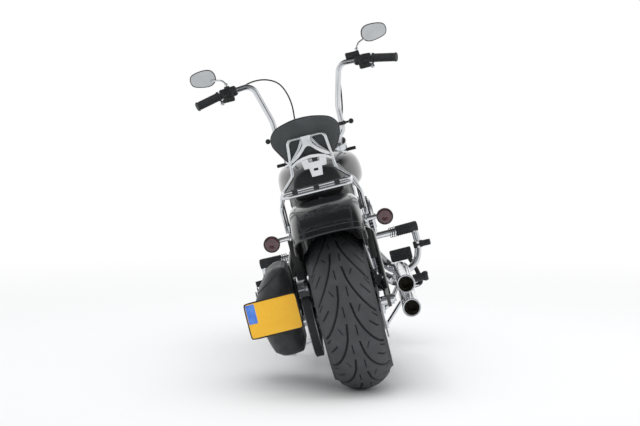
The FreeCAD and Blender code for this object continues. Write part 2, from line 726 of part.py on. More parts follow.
def engine_case():
    """Crankcase and gearbox, with the decks that carry the barrels and the front belt pulley."""
    floor = v.rail_z + 2 + 14
    y, z = v.engine_y, v.engine_z
    rear, front = y - 145, y + 132
    outline = [
        (rear, floor - z), (y + 80, floor - z), (front, -60), (front, 40), (y + 90, 112), (y - 90, 112), (rear, 60),
    ]
    outline = [(point[0] - y, point[1]) for point in outline]
    case = padded("crank_case", [outline], 2 * v.case_half, (-v.case_half, y, z), CROSS)
    softened(case, 14, lambda edge: abs(edge.tangentAt(edge.FirstParameter).x) > 0.99)
    gear = padded("gear_case", [[(v.pivot_y + 62 - y, -88), (-140, -88), (-140, 96), (v.pivot_y + 80 - y, 96),
                                 (v.pivot_y + 62 - y, 70)]], 170, (-85, y, z), CROSS)
    pieces = [case, gear]
    for side in (-1, 1):
        deck = rod(f"deck_{side}", 62, v.deck - 60, (0, 0, 60))
        pieces.append(moved(deck, engine_frame(side)))
        lifter = block(f"lifter_{side}", (42, 46, 60), (50, -23 + 12 * side, 88))
        pieces.append(moved(lifter, engine_frame(side)))
    boss = rod("cable_boss", 9, 40, (-70, y + 121, z - 30), (0, 1, 0))
    shaft_end = v.rear_hub_left + v.pulley_width - 2
    shaft = rod("gear_shaft", 20, shaft_end, (-shaft_end, v.shaft_y, v.shaft_z), (1, 0, 0))
    wheel = rod("front_pulley", v.front_pulley_radius, v.pulley_width - 2,
                (-shaft_end, v.shaft_y, v.shaft_z), (1, 0, 0))
    return node("engine_case", fuse("engine_case", pieces + [boss, shaft, wheel]))


def cylinders():
    """Air-cooled barrels and heads, each turned with its fins in one outline."""
    made = []
    foot = v.deck + v.fit
    for side in (-1, 1):
        outline = [(0, foot), (v.bore_radius, foot)]
        height = foot + 10
        top = v.deck + v.barrel + v.head
        gap = v.fin_pitch - v.fin_wall
        while height + v.fin_wall < top - 12:
            outline += [
                (v.bore_radius, height), (v.fin_radius, height + 0.8), (v.fin_radius, height + v.fin_wall - 0.8),
                (v.bore_radius, height + v.fin_wall),
            ]
            height = height + v.fin_pitch
        outline += [(v.bore_radius, top), (0, top)]
        barrel = turned(f"barrel_{side}", outline, role="XZ_Plane", axis="V_Axis")
        made.append(moved(barrel, engine_frame(side)))
    return node("cylinders", group("cylinders", made))


def valve_train():
    """Rocker boxes on the heads and the pushrod tubes beside the barrels."""
    made = []
    base = v.deck + v.barrel + v.head + v.fit
    for side in (-1, 1):
        box = padded(f"rocker_box_{side}", [[(-62, -50), (70, -50), (92, -34), (92, 34), (70, 50), (-62, 50)]],
                     v.rocker, (0, 0, base))
        softened(box, 9, lambda edge, low=base: edge.CenterOfMass.z > float(v.rocker) - 1)
        pieces = [box]
        for way in (-1, 1):
            start = (v.fin_radius + 14, 12 * side + way * 11, 149)
            pieces.append(bar(f"pushrod_{side}_{way}", 8.5, start, (v.fin_radius + 13, way * 20, base + 5)))
        made.append(moved(fuse(f"rockers_{side}", pieces), engine_frame(side)))
    return node("valve_train", group("valve_train", made))


def engine_covers():
    """Primary cover on the left, and the cam cover on the right."""
    y, z = v.engine_y, v.engine_z
    inner = v.rear_hub_left + v.pulley_width + 6
    clutch = 104
    crank = 90
    apart = y - v.shaft_y
    rise = v.shaft_z - z
    lean_in = (clutch - crank) / apart
    cover = padded("primary_case", [[
        (-apart - clutch * lean_in, rise + clutch), (crank * 0.05, crank), (crank * 0.05, -crank, crank + 0.5, -1),
        (-apart - clutch * lean_in, rise - clutch),
    ]], 44, (-inner - 44, y, z), CROSS)
    round_end = rod("clutch_end", clutch, 44, (-inner - 44, v.shaft_y - clutch * lean_in, v.shaft_z), (1, 0, 0))
    neck_in = rod("primary_neck", crank - 6, inner - v.case_half - v.fit, (-inner, y, z), (1, 0, 0))
    whole = fuse("primary_shell", [cover, round_end, neck_in])
    derby = rod("derby_cover", 62, 8, (-inner - 52, v.shaft_y, v.shaft_z), (1, 0, 0))
    primary = fuse("primary", [whole, derby])
    cam = turned("cam", [(0, 0), (86, 0), (86, 14), (78, 20), (46, 24), (40, 34), (34, 37), (0, 37)],
        (v.case_half + v.fit, y, z), Rotation(Vector(0, 0, 1), Vector(1, 0, 0)), role="XZ_Plane", axis="V_Axis")
    return node("engine_covers", group("engine_covers", [primary, cam]))


def air_cleaner():
    """Round air cleaner outside the V, on its intake pipe between the cylinders."""
    z = v.engine_z + 282
    shell = turned("cleaner_shell", [(0, 0), (88, 0), (92, 6), (92, 60), (80, 76), (40, 82), (0, 82)],
        (112, v.engine_y, z), Rotation(Vector(0, 0, 1), Vector(1, 0, 0)), role="XZ_Plane", axis="V_Axis")
    pipe = rod("intake", 22, 142, (-30, v.engine_y, z), (1, 0, 0))
    manifold = rod("manifold", 18, 160, (-6, v.engine_y - 80, z), (0, 1, 0))
    ports = [moved(rod(f"inlet_{side}", v.fin_radius + v.fit, 500, (0, 0, 0)), engine_frame(side))
             for side in (-1, 1)]
    whole = fuse("cleaner_parts", [shell, pipe, manifold])
    return node("air_cleaner", cut("air_cleaner", whole, fuse("inlets", ports)))


def exhaust():
    """Two pipes from the heads into two mufflers, one above the other on the right."""
    pieces = []
    y, z = v.engine_y, v.engine_z
    for level, height in (("top", v.muffler_top_z), ("low", v.muffler_low_z)):
        length = v.muffler_front_y - v.muffler_end_y
        radius = v.muffler_radius
        shell = turned(f"muffler_{level}", [
            (0, 70), (radius - 4, 70), (radius - 4, 0), (radius + 1, 0),
            (radius + 1, 6), (radius, 12), (radius, length - 40), (v.pipe_radius + 1, length), (0, length),
        ], (v.muffler_x, v.muffler_end_y, height), Rotation(Vector(0, 0, 1), Vector(0, 1, 0)),
            role="XZ_Plane", axis="V_Axis")
        pieces.append(shell)
    front = [
        (20, y + 126 + v.bore_radius, z + 282), (76, y + 240, z + 272), (142, y + 236, z + 190),
        (148, y + 214, z + 6), (v.muffler_x - 30, y + 130, v.muffler_low_z), (v.muffler_x, y + 10, v.muffler_low_z),
        (v.muffler_x, v.muffler_front_y - 4, v.muffler_low_z),
    ]
    rear = [
        (38, y - 184, z + 276), (146, y - 196, z + 262), (150, y - 190, z + 150),
        (v.muffler_x - 40, y - 200, v.muffler_top_z), (v.muffler_x, y - 290, v.muffler_top_z),
        (v.muffler_x, v.muffler_front_y - 4, v.muffler_top_z),
    ]
    pieces.append(tube("front_pipe", v.pipe_radius, front, (60, 50, 60, 60, 120)))
    pieces.append(tube("rear_pipe", v.pipe_radius, rear, (40, 60, 50, 60)))
    bracket = block("muffler_bracket", (10, 40, v.muffler_top_z - v.muffler_low_z),
                    (v.muffler_x - 5, 60, v.muffler_low_z))
    hanger = bar("hanger", 8, (v.rail_x + v.rail_radius + 5, 620, v.rail_z + 2),
                 (v.muffler_x - 10, 620, v.muffler_low_z - 26))
    riser = bar("hanger_top", 8, (v.muffler_x - 12, 620, v.muffler_low_z - 27),
                (v.muffler_x, 540, v.muffler_low_z - 24))
    foot = block("hanger_foot", (8, 34, 30), (v.rail_x + v.rail_radius + v.fit, 603, v.rail_z - 15))
    ports = [moved(rod(f"port_{side}", v.fin_radius + v.fit, 500, (0, 0, 0)), engine_frame(side))
             for side in (-1, 1)]
    whole = fuse("exhaust_parts", pieces + [bracket, hanger, riser, foot])
    return node("exhaust", cut("exhaust", whole, fuse("exhaust_ports", ports)))


def smooth_section(y, half, low, high, widest=0.42, full=0.7):
    """A closed section square to Y, in four curves; widest is the height share of its sides."""
    side = low + (high - low) * widest
    corners = [Vector(0, y, high), Vector(half, y, side), Vector(0, y, low), Vector(-half, y, side)]
    edges = []
    for number, (start, end) in enumerate(zip(corners, corners[1:] + corners[:1])):
        turn = Vector(end.x, y, start.z) if number % 2 == 0 else Vector(start.x, y, end.z)
        curve = Part.BezierCurve()
        curve.setPoles([start, start + (turn - start) * full, end + (turn - end) * full, end])
        edges.append(curve.toBSpline().toShape())
    return Part.Wire(edges)


def fuel_tank():
    """Wide two-sided tank over the backbone: a loft through smooth sections."""
    low, high, half = float(v.tank_bottom), float(v.tank_top), float(v.tank_half)
    length = v.tank_front_y - v.tank_rear_y
    stations = [
        (0.0, 0.3, 34, -84), (0.07, 0.46, 20, -60), (0.2, 0.7, 6, -32), (0.36, 0.89, 0, -10), (0.5, 0.98, 0, -1),
        (0.64, 1.0, 0, 0), (0.78, 0.94, 0, -8), (0.91, 0.74, 10, -26), (1.0, 0.46, 34, -58),
    ]
    wires = [
        smooth_section(v.tank_rear_y + share * length, half * width, low + rise, high + drop, full=0.8)
        for share, width, rise, drop in stations
    ]
    body = Part.makeLoft(wires, True)
    start, end = Vector(*BACKBONE[0]), Vector(*BACKBONE[1])
    pitch = math.degrees(math.atan2(start.z - end.z, start.y - end.y))
    wide = float(v.backbone_radius + 6)
    channel = Part.makeBox(2 * wide, 700, 200 + wide, Vector(-wide, end.y - 60, end.z - 207))
    channel.rotate(Vector(0, end.y - 60, end.z - 207), Vector(1, 0, 0), pitch)
    return node("fuel_tank", shaped("fuel_tank", body.cut(channel)))


def tank_console():
    """Raised dash along the tank's top, with the round meter."""
    y = v.tank_rear_y
    strip = padded("dash", [[
        (-12, y + 70), (-50, y + 280), (-50, y + 350), (50, y + 350), (50, y + 280), (12, y + 70),
    ]], 40, (0, 0, v.tank_top - 28))
    softened(strip, 7, lambda edge: edge.CenterOfMass.z > 39)
    meter = rod("meter", 52, 44, (0, y + 318, v.tank_top - 28), (0, -0.12, 1))
    whole = fuse("dash_whole", [strip, meter])
    doc.recompute()
    return node("tank_console", shaped("tank_console", whole.Shape.cut(NODES["fuel_tank"].Shape)))


def oil_tank():
    y = v.seat_bar_y
    tank = block("oil_box", (180, 128, 150), (-90, y - 34, v.seat_bar_z - 180))
    doc.recompute()
    tank = rounded("oil_round", tank, 22)
    tool = fuse("oil_relief", [
        tube(f"oil_relief_{side}", v.rail_radius + 1, cradle_path(side), CRADLE_BENDS) for side in (-1, 1)
    ])
    return node("oil_tank", cut("oil_tank", tank, tool))


def rounded(name, base, radius, chosen=lambda edge: True):
    made = doc.addObject("Part::Fillet", name)
    made.Base = base
    made.Edges = [
        (count, radius, radius) for count, edge in enumerate(base.Shape.Edges, start=1) if chosen(edge)
    ]
    return made


def fender_outline(half, radius, wall, edge, crown):
    """A fender's section: flat sides, round corners and a slightly raised top."""
    inner = half - wall
    corner = 46
    flat = half - corner + 6
    return [
        (-half, edge), (-half, radius - corner), (-flat, radius - 8, corner, -1), (flat, radius - 8, crown, -1),
        (half, radius - corner, corner, -1), (half, edge), (inner, edge), (inner, radius - corner),
        (flat - 2, radius - 8 - wall, corner - wall, 1), (2 - flat, radius - 8 - wall, crown - wall, 1),
        (-inner, radius - corner, corner - wall, 1), (-inner, edge),
    ]


def rear_fender():
    outline = fender_outline(v.fender_half, v.fender_radius, v.fender_wall, v.fender_edge, 700)
    rear = 90 - v.fender_rear_angle
    front = 90 - v.fender_front_angle
    made = turned("rear_fender", outline, (0, v.fender_y, v.fender_z), Rotation(Vector(1, 0, 0), 0),
                  role="XZ_Plane", angles=(rear, front))
    return node("rear_fender", made)


def fender_struts():
    """Long plates that carry the rear fender from the seat bar."""
    made = []
    for side in (-1, 1):
        x = v.fender_half + v.fit if side > 0 else -v.fender_half - v.fit - v.strut_wall
        y, z = v.seat_bar_y, v.seat_bar_z
        strut = padded(f"strut_{side}", [[
            (y + 20, z - 20), (y + 20, z + 22), (330, z + 34), (-30, z + 78), (-130, z + 60), (-138, z + 36),
            (-40, z + 22), (330, z - 14),
        ]], v.strut_wall, (x, 0, 0), CROSS)
        made.append(strut)
    return node("fender_struts", group("fender_struts", made))


def seat():
    """One seat for two: a low scooped front and a raised rear pad on the fender."""
    stations = [
        (700, 52, 748, 782), (640, 96, 672, 756), (560, 158, 650, 722), (470, 172, 636, 712), (390, 166, 640, 742),
        (330, 146, 660, 838), (250, 134, 690, 900), (140, 124, 700, 922), (50, 100, 710, 902),
    ]
    wires = [smooth_section(y, half, low, high, 0.5, 0.8) for y, half, low, high in stations]
    body = shaped("seat_body", Part.makeLoft(wires, True))
    over = v.fit
    fender = rod("seat_fender", v.fender_radius + 5, 2 * v.fender_half + 40,
                 (-v.fender_half - 20, v.fender_y, v.fender_z), (1, 0, 0))
    bars = [tube(f"seat_relief_{side}", v.rail_radius + over, cradle_path(side), CRADLE_BENDS) for side in (-1, 1)]
    bars.append(tube("seat_backbone", v.backbone_radius + over, BACKBONE, (70,)))
    bars.append(rod("seat_cross", v.seat_bar_radius + over, 400, (-200, v.seat_bar_y, v.seat_bar_z), (1, 0, 0)))
    for side in (-1, 1):
        corner = v.fender_half - over if side > 0 else over - 60 - v.fender_half
        bars.append(block(f"seat_strut_{side}", (60, 800, 200), (corner, -100, 560)))
    whole = cut("seat_cut", body, fuse("seat_tools", [fender] + bars))
    return node("seat", cut("seat", whole, NODES["fuel_tank"]))


def sissy_bar():
    """Chrome upright behind the passenger: a hoop, a wishbone and two side plates."""
    x, y = v.sissy_top_x, -14
    top = v.sissy_top_z - v.sissy_radius
    foot_x = v.fender_half + v.strut_wall + v.fit + 5
    hoop = tube("hoop", v.sissy_radius, both([
        (x, y, top), (88, 0, 896), (foot_x, 12, v.rack_z - 12), (foot_x, 24, 706),
    ]), (60, 34, 22, 22, 34, 60))
    arch = tube("arch", 6, both([(34, -5, 960), (86, -2, 938)]), (70, 70))
    wish = tube("wishbone", 7, both([(16, -13, top - 6), (40, -12, top - 46), (84, -6, 948)]), (40, 18, 18, 40))
    plates = [
        block(f"side_plate_{side}", (5, 150, 40),
              ((v.fender_half + v.strut_wall + 2 * v.fit) if side > 0 else (-v.fender_half - v.strut_wall - 2 * v.fit - 5),
               -50, 672)) for side in (-1, 1)
    ]
    centre = padded("mount_plate", [[
        (-22, -44), (22, -44), (26, -8), (46, -8), (52, 36), (26, 36), (22, 14), (-22, 14), (-26, 36), (-52, 36),
        (-46, -8), (-26, -8),
    ], [(-9, -22), (-9, -12), (9, -12), (9, -22)]], 6, (10, -1, 922), Rotation(Vector(1, 0, 0), 90))
    studs = [rod(f"pad_stud_{side}", 6, 13 - v.fit, (side * 55, -9, 975), (0, 1, 0)) for side in (-1, 1)]
    return node("sissy_bar", fuse("sissy_bar", [hoop, arch, wish, centre] + plates + studs))


def back_pad():
    half, low, high, wall = v.pad_half, v.pad_low_z, v.pad_top_z, v.pad_wall
    mid = (low + high) / 2
    pad = padded("pad_block", [[
        (-half * 0.66, low), (half * 0.66, low), (half * 0.98, mid - 8, 190, 1), (half, mid + 22),
        (half * 0.72, high - 16, 70, 1), (-half * 0.72, high - 16, 320, 1), (-half, mid + 22, 70, 1),
        (-half * 0.98, mid - 8),
    ]], wall, (0, 4 + wall, 0), Rotation(Vector(1, 0, 0), 90))
    softened(pad, 16, lambda edge: True)
    return node("back_pad", pad)


def luggage_rack():
    x, z, rear, radius = v.rack_x, v.rack_z, v.rack_rear_y, v.rack_radius
    side_y = -30
    outer = tube("rack_loop", radius, [
        (-x, side_y, z), (6 - x, rear, z - 4), (x - 6, rear, z - 4), (x, side_y, z),
    ], (30, 30))
    bars = [rod(f"rack_bar_{number}", radius - 1, 2 * x - 4, (2 - x, y, z), (1, 0, 0))
            for number, y in enumerate((-110, -210))]
    legs = []
    plate_x = v.fender_half + v.strut_wall + v.fit * 2 + 5 + v.fit
    for side in (-1, 1):
        legs.append(tube(f"rack_leg_{side}", radius, [
            (side * x, side_y - 2, z), (side * (plate_x + radius), side_y - 8, z - 60),
            (side * (plate_x + radius), -20, 684),
        ], (60,)))
    return node("luggage_rack", fuse("luggage_rack", [outer] + bars + legs))


def rear_indicators():
    """Bullet lamps on stalks from the fender struts."""
    made = []
    for side in (-1, 1):
        shell = turned(f"bullet_{side}", [
            (0, 1), (3, 1), (v.lamp_bullet - 6, 4, 90, -1), (v.lamp_bullet, 10), (v.lamp_bullet, 22),
            (v.lamp_bullet - 9, 58, 90, 1), (3, 77, 40, 1), (0, 77),
        ], (side * v.indicator_x, -138, v.indicator_z), Rotation(Vector(0, 0, 1), Vector(0, 1, 0)),
            role="XZ_Plane", axis="V_Axis")
        start = v.fender_half + v.strut_wall + 2 * v.fit
        stalk = bar(f"stalk_{side}", 9, (side * start, -104, v.indicator_z + 6),
                    (side * (v.indicator_x - 20), -104, v.indicator_z + 6))
        made.append(fuse(f"indicator_{side}", [shell, stalk]))
    return node("rear_indicators", group("rear_indicators", made))


def plate_parts():
    """Side-mounted number plate, bare, in its frame on an arm from the axle."""
    x, y, z = -v.plate_x, v.plate_y, v.plate_z
    board = block("number_plate", (v.plate_width, 3, v.plate_height),
                  (x - v.plate_width / 2, y, z - v.plate_height / 2))
    node("number_plate", board)
    back = block("plate_back", (v.plate_width - 20, 4, v.plate_height - 20),
                 (x - v.plate_width / 2 + 10, y + 3, z - v.plate_height / 2 + 10))
    arm = tube("plate_arm", 7, [
        (-v.arm_left_x - 30, -4, v.rear_tyre_radius), (-v.arm_left_x - 50, -24, v.rear_tyre_radius + 20),
        (x + 30, y + 6, z - 10),
    ], (24,))
    boss = rod("plate_boss", 12, 12, (-v.arm_left_x - 21 - 2 * v.fit - 12, 0, v.rear_tyre_radius), (1, 0, 0))
    node("plate_bracket", fuse("plate_bracket", [back, arm, boss]))


def round_ring(points, radius):
    """A closed outline with round corners."""
    spots = [Vector(*point) for point in points]
    corners = []
    for before, corner, after in zip(spots[-1:] + spots[:-1], spots, spots[1:] + spots[:1]):
        back, on = (before - corner).normalize(), (after - corner).normalize()
        half = back.getAngle(on) / 2
        reach = radius / math.tan(half)
        middle = corner + (back + on).normalize() * (radius / math.sin(half) - radius)
        corners.append((corner + back * reach, middle, corner + on * reach))
    edges = []
    for (start, middle, end), (following, _, _) in zip(corners, corners[1:] + corners[:1]):
        edges.append(Part.Arc(start, middle, end).toShape())
        edges.append(Part.LineSegment(end, following).toShape())
    return Part.Wire(edges)


def saddlebag():
    """Leather bag beside the belt: a tapered box, thin at the top, with round corners."""
    inner = -float(v.bag_inner_x)
    low, tall = float(v.bag_low_z), float(v.bag_top_z - v.bag_low_z)
    rings = []
    for share, rear, front, depth, corner in (
        (0, 100, 396, 96, 34), (0.06, 84, 414, 128, 40), (0.4, 58, 434, 156, 44), (0.68, 44, 440, 156, 44),
        (0.96, 58, 424, 76, 26), (1, 70, 410, 54, 20),
    ):
        z = low + share * tall
        rings.append(round_ring([
            (inner, rear, z), (inner, front, z), (inner - depth, front - 8, z), (inner - depth, rear + 8, z),
        ], corner))
    return node("saddlebag", shaped("saddlebag", Part.makeLoft(rings, True, True)))


def belt():
    """Drive belt: one loop round both pulleys."""
    ys, zs = (0, float(v.shaft_y)), (float(v.rear_tyre_radius), float(v.shaft_z))
    far = math.hypot(ys[1] - ys[0], zs[1] - zs[0])
    level = math.atan2(zs[1] - zs[0], ys[1] - ys[0])
    faces = []
    for grow in (v.belt_wall + v.fit, v.fit):
        big, small = v.pulley_radius + grow, v.front_pulley_radius + grow
        open_angle = math.acos((big - small) / far)

        def at(number, radius, angle):
            return Vector(0, ys[number] + radius * math.cos(angle), zs[number] + radius * math.sin(angle))

        first, last = level + open_angle, level - open_angle
        edges = [
            Part.Arc(at(0, big, last), at(0, big, level + math.pi), at(0, big, first)).toShape(),
            Part.LineSegment(at(0, big, first), at(1, small, first)).toShape(),
            Part.Arc(at(1, small, first), at(1, small, level), at(1, small, last)).toShape(),
            Part.LineSegment(at(1, small, last), at(0, big, last)).toShape(),
        ]
        faces.append(Part.Face(Part.Wire(edges)))
    ring = faces[0].cut(faces[1])
    loop = ring.extrude(Vector(float(v.belt_width), 0, 0))
    loop.translate(Vector(-float(v.rear_hub_left + (v.pulley_width + v.belt_width) / 2), 0, 0))
    return node("drive_belt", shaped("drive_belt", loop.Solids[0] if loop.Solids else loop))


def belt_guard():
    """Chrome strip over the belt's upper run, held by the left swingarm tube."""
    radius = v.pulley_radius + 24
    x = -v.rear_hub_left - v.pulley_width - 2
    z = v.rear_tyre_radius
    low, high = math.radians(38), math.radians(76)

    def at(distance, angle):
        return (-distance * math.cos(angle), distance * math.sin(angle))

    strip = padded("guard_strip", [[
        at(radius, low), (*at(radius, high), radius, -1), (90, radius + 2), (240, radius - 22), (240, radius - 18),
        (90, radius + 6), (*at(radius + 4, high),), (*at(radius + 4, low), radius + 4, 1),
    ]], 44, (x, 0, z), CROSS)
    tab = block("guard_tab", (24, 18, 34), (-v.arm_left_x, 190, z + radius - 44))
    seat_cut = upper_arm("guard_seat", -1, v.arm_left_x, v.fit)
    return node("belt_guard", cut("belt_guard", fuse("guard_parts", [strip, tab]), seat_cut))


def engine_guard():
    x, y, z = v.guard_x, v.guard_y, v.guard_z
    middle = v.rail_front_y + 80 + v.guard_radius
    loop = tube("guard_loop", v.guard_radius, both([
        (150, middle + 14, z + 2), (x, y, z), (x, y, z - 90), (x - 26, y - 8, z - 176), (150, 1236, 262),
        (104, 1210, 256),
    ]), (24, 90, 60, 34, 300, 300, 34, 60, 90, 24))
    clamp = block("guard_clamp", (190, 58, 30), (-95, middle - 50, z - 15))
    seats = [tube(f"guard_seat_{side}", v.rail_radius + v.fit, cradle_path(side), CRADLE_BENDS)
             for side in (-1, 1)]
    return node("engine_guard", cut("engine_guard", fuse("guard_tubes", [loop, clamp]), fuse("guard_seats", seats)))


def rubber_pegs():
    """Rubber sleeves on the guard, the guard's own pegs and the rider's pegs."""
    made = []
    x, y, z = v.guard_x, v.guard_y, v.guard_z
    inner_y = v.rail_front_y + 80 + v.guard_radius + 14
    for side in (-1, 1):
        start = Vector(side * 150, inner_y, z + 2)
        end = Vector(side * x, y, z)
        way = (end - start).normalize()
        sleeve = turned(f"sleeve_{side}", [
            (0, 0), (v.sleeve_radius - 3, 0), (v.sleeve_radius, 4), (v.sleeve_radius + 2, 96),
            (v.sleeve_radius, 104), (0, 104),
        ], tuple(start + way * 126), Rotation(Vector(0, 0, 1), way), role="XZ_Plane", axis="V_Axis")
        hole = tube(f"sleeve_hole_{side}", v.guard_radius + v.fit, [
            (side * 150, inner_y, z + 2), (side * x, y, z), (side * x, y, z - 90),
        ], (34,))
        made.append(cut(f"sleeve_cut_{side}", sleeve, hole))
        peg = turned(f"peg_{side}", [
            (0, 0), (v.peg_radius - 3, 0), (v.peg_radius, 5), (v.peg_radius, 100), (v.peg_radius + 5, 112),
            (v.peg_radius + 2, 125), (0, 127),
        ], (side * (v.peg_end_x - 127), v.peg_y, v.peg_z), Rotation(Vector(0, 0, 1), Vector(side, 0, 0)),
            role="XZ_Plane", axis="V_Axis")
        made.append(peg)
        clamp = rod(f"peg_clamp_{side}", v.guard_radius + 7, 30, (side * x, y, z - 100))
        stub = rod(f"peg_stub_{side}", 14, 58, (side * x, y - 6, z - 85), (side, -0.2, 0))
        hole = tube(f"peg_hole_{side}", v.guard_radius + v.fit, [
            (side * x, y, z), (side * x, y, z - 90), (side * (x - 26), y - 8, z - 176),
        ], (60,))
        made.append(cut(f"guard_peg_{side}", fuse(f"guard_peg_parts_{side}", [clamp, stub]), hole))
    return node("rubber_pegs", group("rubber_pegs", made))


def foot_controls():
    """Forward control arms from the frame, with the brake pedal and the shift lever."""
    made = []
    inner = v.rail_x + v.rail_radius + v.fit
    for side in (-1, 1):
        foot = block(f"control_foot_{side}", (10, 60, 40),
                     (inner if side > 0 else -inner - 10, v.rail_front_y - 78, v.rail_z - 12))
        arm = tube(f"control_arm_{side}", 11, [
            (side * (inner + 8), v.rail_front_y - 50, v.rail_z + 10), (side * 170, v.rail_front_y - 20, v.rail_z + 20),
            (side * 222, v.peg_y - 60, v.peg_z - 6), (side * 236, v.peg_y, v.peg_z),
        ], (40, 40))
        drop = block(f"control_drop_{side}", (14, 20, 50), (side * 234 - 7, v.peg_y - 10, v.peg_z - 46))
        hub = rod(f"control_hub_{side}", 15, 24, (side * (v.peg_end_x - 127 - v.fit), v.peg_y, v.peg_z),
                  (-side, 0, 0))
        lever = tube(f"lever_{side}", 8, [
            (side * 236, v.peg_y, v.peg_z - 36), (side * 336, v.peg_y + 40, v.peg_z - 36),
            (side * 332, v.peg_y + 58, v.peg_z + 20), (side * 298, v.peg_y + 62, v.peg_z + 118),
        ], (24, 60))
        if side > 0:
            pad = block("brake_pad", (98, 12, 56), (225, v.peg_y + 58, v.peg_z + 92), Rotation(Vector(1, 0, 0), 20))
        else:
            pad = rod("shift_peg", 11, 80, (-232, v.peg_y + 62, v.peg_z + 118), (-1, 0, 0))
        made.append(fuse(f"controls_{side}", [foot, arm, hub, drop, lever, pad]))
    return node("foot_controls", group("foot_controls", made))


def calipers():
    """A caliper is a block with a slot over the disc; each hangs on its own bracket."""
    f = v.fit + 0.7
    x = v.rear_hub_right
    z = v.rear_tyre_radius
    body = block("rear_caliper_block", (v.disc_wall + 26, 96, 62), (x - 13, 62, z + 58))
    slot = rod("rear_caliper_slot", v.disc_radius + 4, v.disc_wall + 2 * f, (x - f, 0, z), (1, 0, 0))
    link = block("rear_caliper_link", (18, 56, 38), (v.arm_right_x - v.arm_radius - 8, 84, z + 58))
    arm = upper_arm("rear_caliper_arm", 1, v.arm_right_x, v.fit)
    made = cut("rear_caliper", fuse("rear_caliper_parts", [body, link]), fuse("rear_caliper_tools", [slot, arm]))
    node("rear_caliper", made)
    x = v.front_hub_half + v.disc_wall
    body = block("front_caliper_block", (v.disc_wall + 26, 62, 110), (-x - 13, -96 - 40, 60))
    slot = rod("front_caliper_slot", v.disc_radius + 4, v.disc_wall + 2 * f, (-x - f, 0, 0), (1, 0, 0))
    ears = [block(f"caliper_ear_{n}", (18, 60, 16), (-x - 13, -80, low)) for n, low in enumerate((66, 140))]
    whole = fuse("front_caliper_whole", [body] + ears)
    leg_bore = rod("front_caliper_leg", v.slider_radius + v.fit, 400, (-v.leg_x, 0, -50))
    tools = fuse("front_caliper_tools", [slot, leg_bore])
    node("front_caliper", on_fork(cut("front_caliper", whole, tools)))


def front_fender():
    outline = fender_outline(v.front_fender_half, v.front_fender_radius, 3, 322, 260)
    made = turned("front_fender_shell", outline, front_axle_at, Rotation(Vector(1, 0, 0), 0),
                  role="XZ_Plane", angles=(72, 28))
    brackets = []
    for side in (-1, 1):
        x = v.front_fender_half - 1
        inner = v.leg_x - v.slider_radius - v.fit
        bracket = block(f"fender_bracket_{side}", (inner - x, 60, 36), (x if side > 0 else -inner, -30, 306))
        brackets.append(on_fork(bracket))
    return node("front_fender", fuse("front_fender", [made] + brackets))


def headlamp():
    radius = v.lamp_radius
    shell = turned("lamp_shell", [
        (0, -66), (4, -66), (radius - 4, -8, 80, 1), (radius - 4, 40), (radius, 42), (radius, 54),
        (radius - 6, 60), (4, 70, 420, 1), (0, 70),
    ], (0, v.lamp_y, v.lamp_z), Rotation(Vector(0, 0, 1), Vector(0, 1, 0)), role="XZ_Plane", axis="V_Axis")
    low = v.clamp_low + v.clamp_wall + v.fit
    rear = STEM + v.neck_radius + 5.7
    post = on_fork(block("lamp_post", (50, 16, 66), (-25, rear, low)))
    shelf = on_fork(block("lamp_shelf", (50, 71, 14), (-25, rear, low + 52)))
    return node("headlamp", fuse("headlamp", [shell, post, shelf]))


def hand_controls():
    made = []
    y = fork_point(0, STEM + 30, v.clamp_high + v.clamp_wall + 62)[1]
    for side in (-1, 1):
        top = Vector(side * v.bar_top_x, y - 20, v.bar_top_z)
        inner = Vector(side * 345, y - 38, v.bar_top_z - 10)
        way = (inner - top).normalize()
        start = inner - way * 66
        housing = rod(f"housing_{side}", 24, 77, tuple(start), way)
        pod = block(f"switches_{side}", (50, 38, 46), (side * 320 - 25, y - 61, v.bar_top_z - 52))
        bore = bar_tube(f"housing_bore_{side}", v.fit)
        if side > 0:
            tank = block("reservoir", (66, 44, v.reservoir_height), (243, y - 30, v.bar_top_z + 8))
        else:
            tank = block("mirror_boss", (26, 26, 14), (-331, y - 48, v.bar_top_z + 8))
        lever = tube(f"hand_lever_{side}", 5, [
            (side * 290, y - 14, v.bar_top_z - 8), (side * 300, y + 34, v.bar_top_z - 8),
            (side * 400, y + 14, v.bar_top_z - 20), (side * 455, y - 30, v.bar_top_z - 34),
        ], (12, 120))
        fitting = bar(f"line_fitting_{side}", 6, (side * 296, y + 30, v.bar_top_z - 8),
                      (side * 262, y + 40, v.bar_top_z - 1))
        pieces = [housing, pod, tank, lever, fitting]
        made.append(cut(f"hand_set_{side}", fuse(f"hand_parts_{side}", pieces), bore))
    return node("hand_controls", group("hand_controls", made))


def mirrors():
    """Mirror heads on bent stems from the hand controls."""
    y = fork_point(0, STEM + 30, v.clamp_high + v.clamp_wall + 62)[1]
    made = []
    for side in (-1, 1):
        across, height = side * v.mirror_x - v.mirror_shift, v.mirror_z + side * v.mirror_shift
        rim = [(-62, 0), (-54, -22), (-30, -42), (10, -38), (50, -26), (62, -8), (62, 14), (51, 31), (15, 41),
               (-32, 41), (-55, 24)]
        drawn = rim if side > 0 else [(-x, z) for x, z in reversed(rim)]
        head = padded(f"mirror_head_{side}", [drawn], 26, (across, y + 46, height), Rotation(Vector(1, 0, 0), 90))
        if side > 0:
            spot, rear, base = 300, y - 4, v.bar_top_z + 8 + v.reservoir_height + v.fit
        else:
            spot, rear, base = -318, y - 35, v.bar_top_z + 22 + v.fit
        stem = tube(f"mirror_stem_{side}", 5, [
            (spot, rear, base + 3), (spot + side * 4, rear + 6, base + 34), (across - side * 20, y + 33, height - 10),
        ], (22,))
        foot = rod(f"mirror_foot_{side}", 9, 14, (spot, rear, base))
        made.append(fuse(f"mirror_{side}", [head, stem, foot]))
    return node("mirrors", group("mirrors", made))


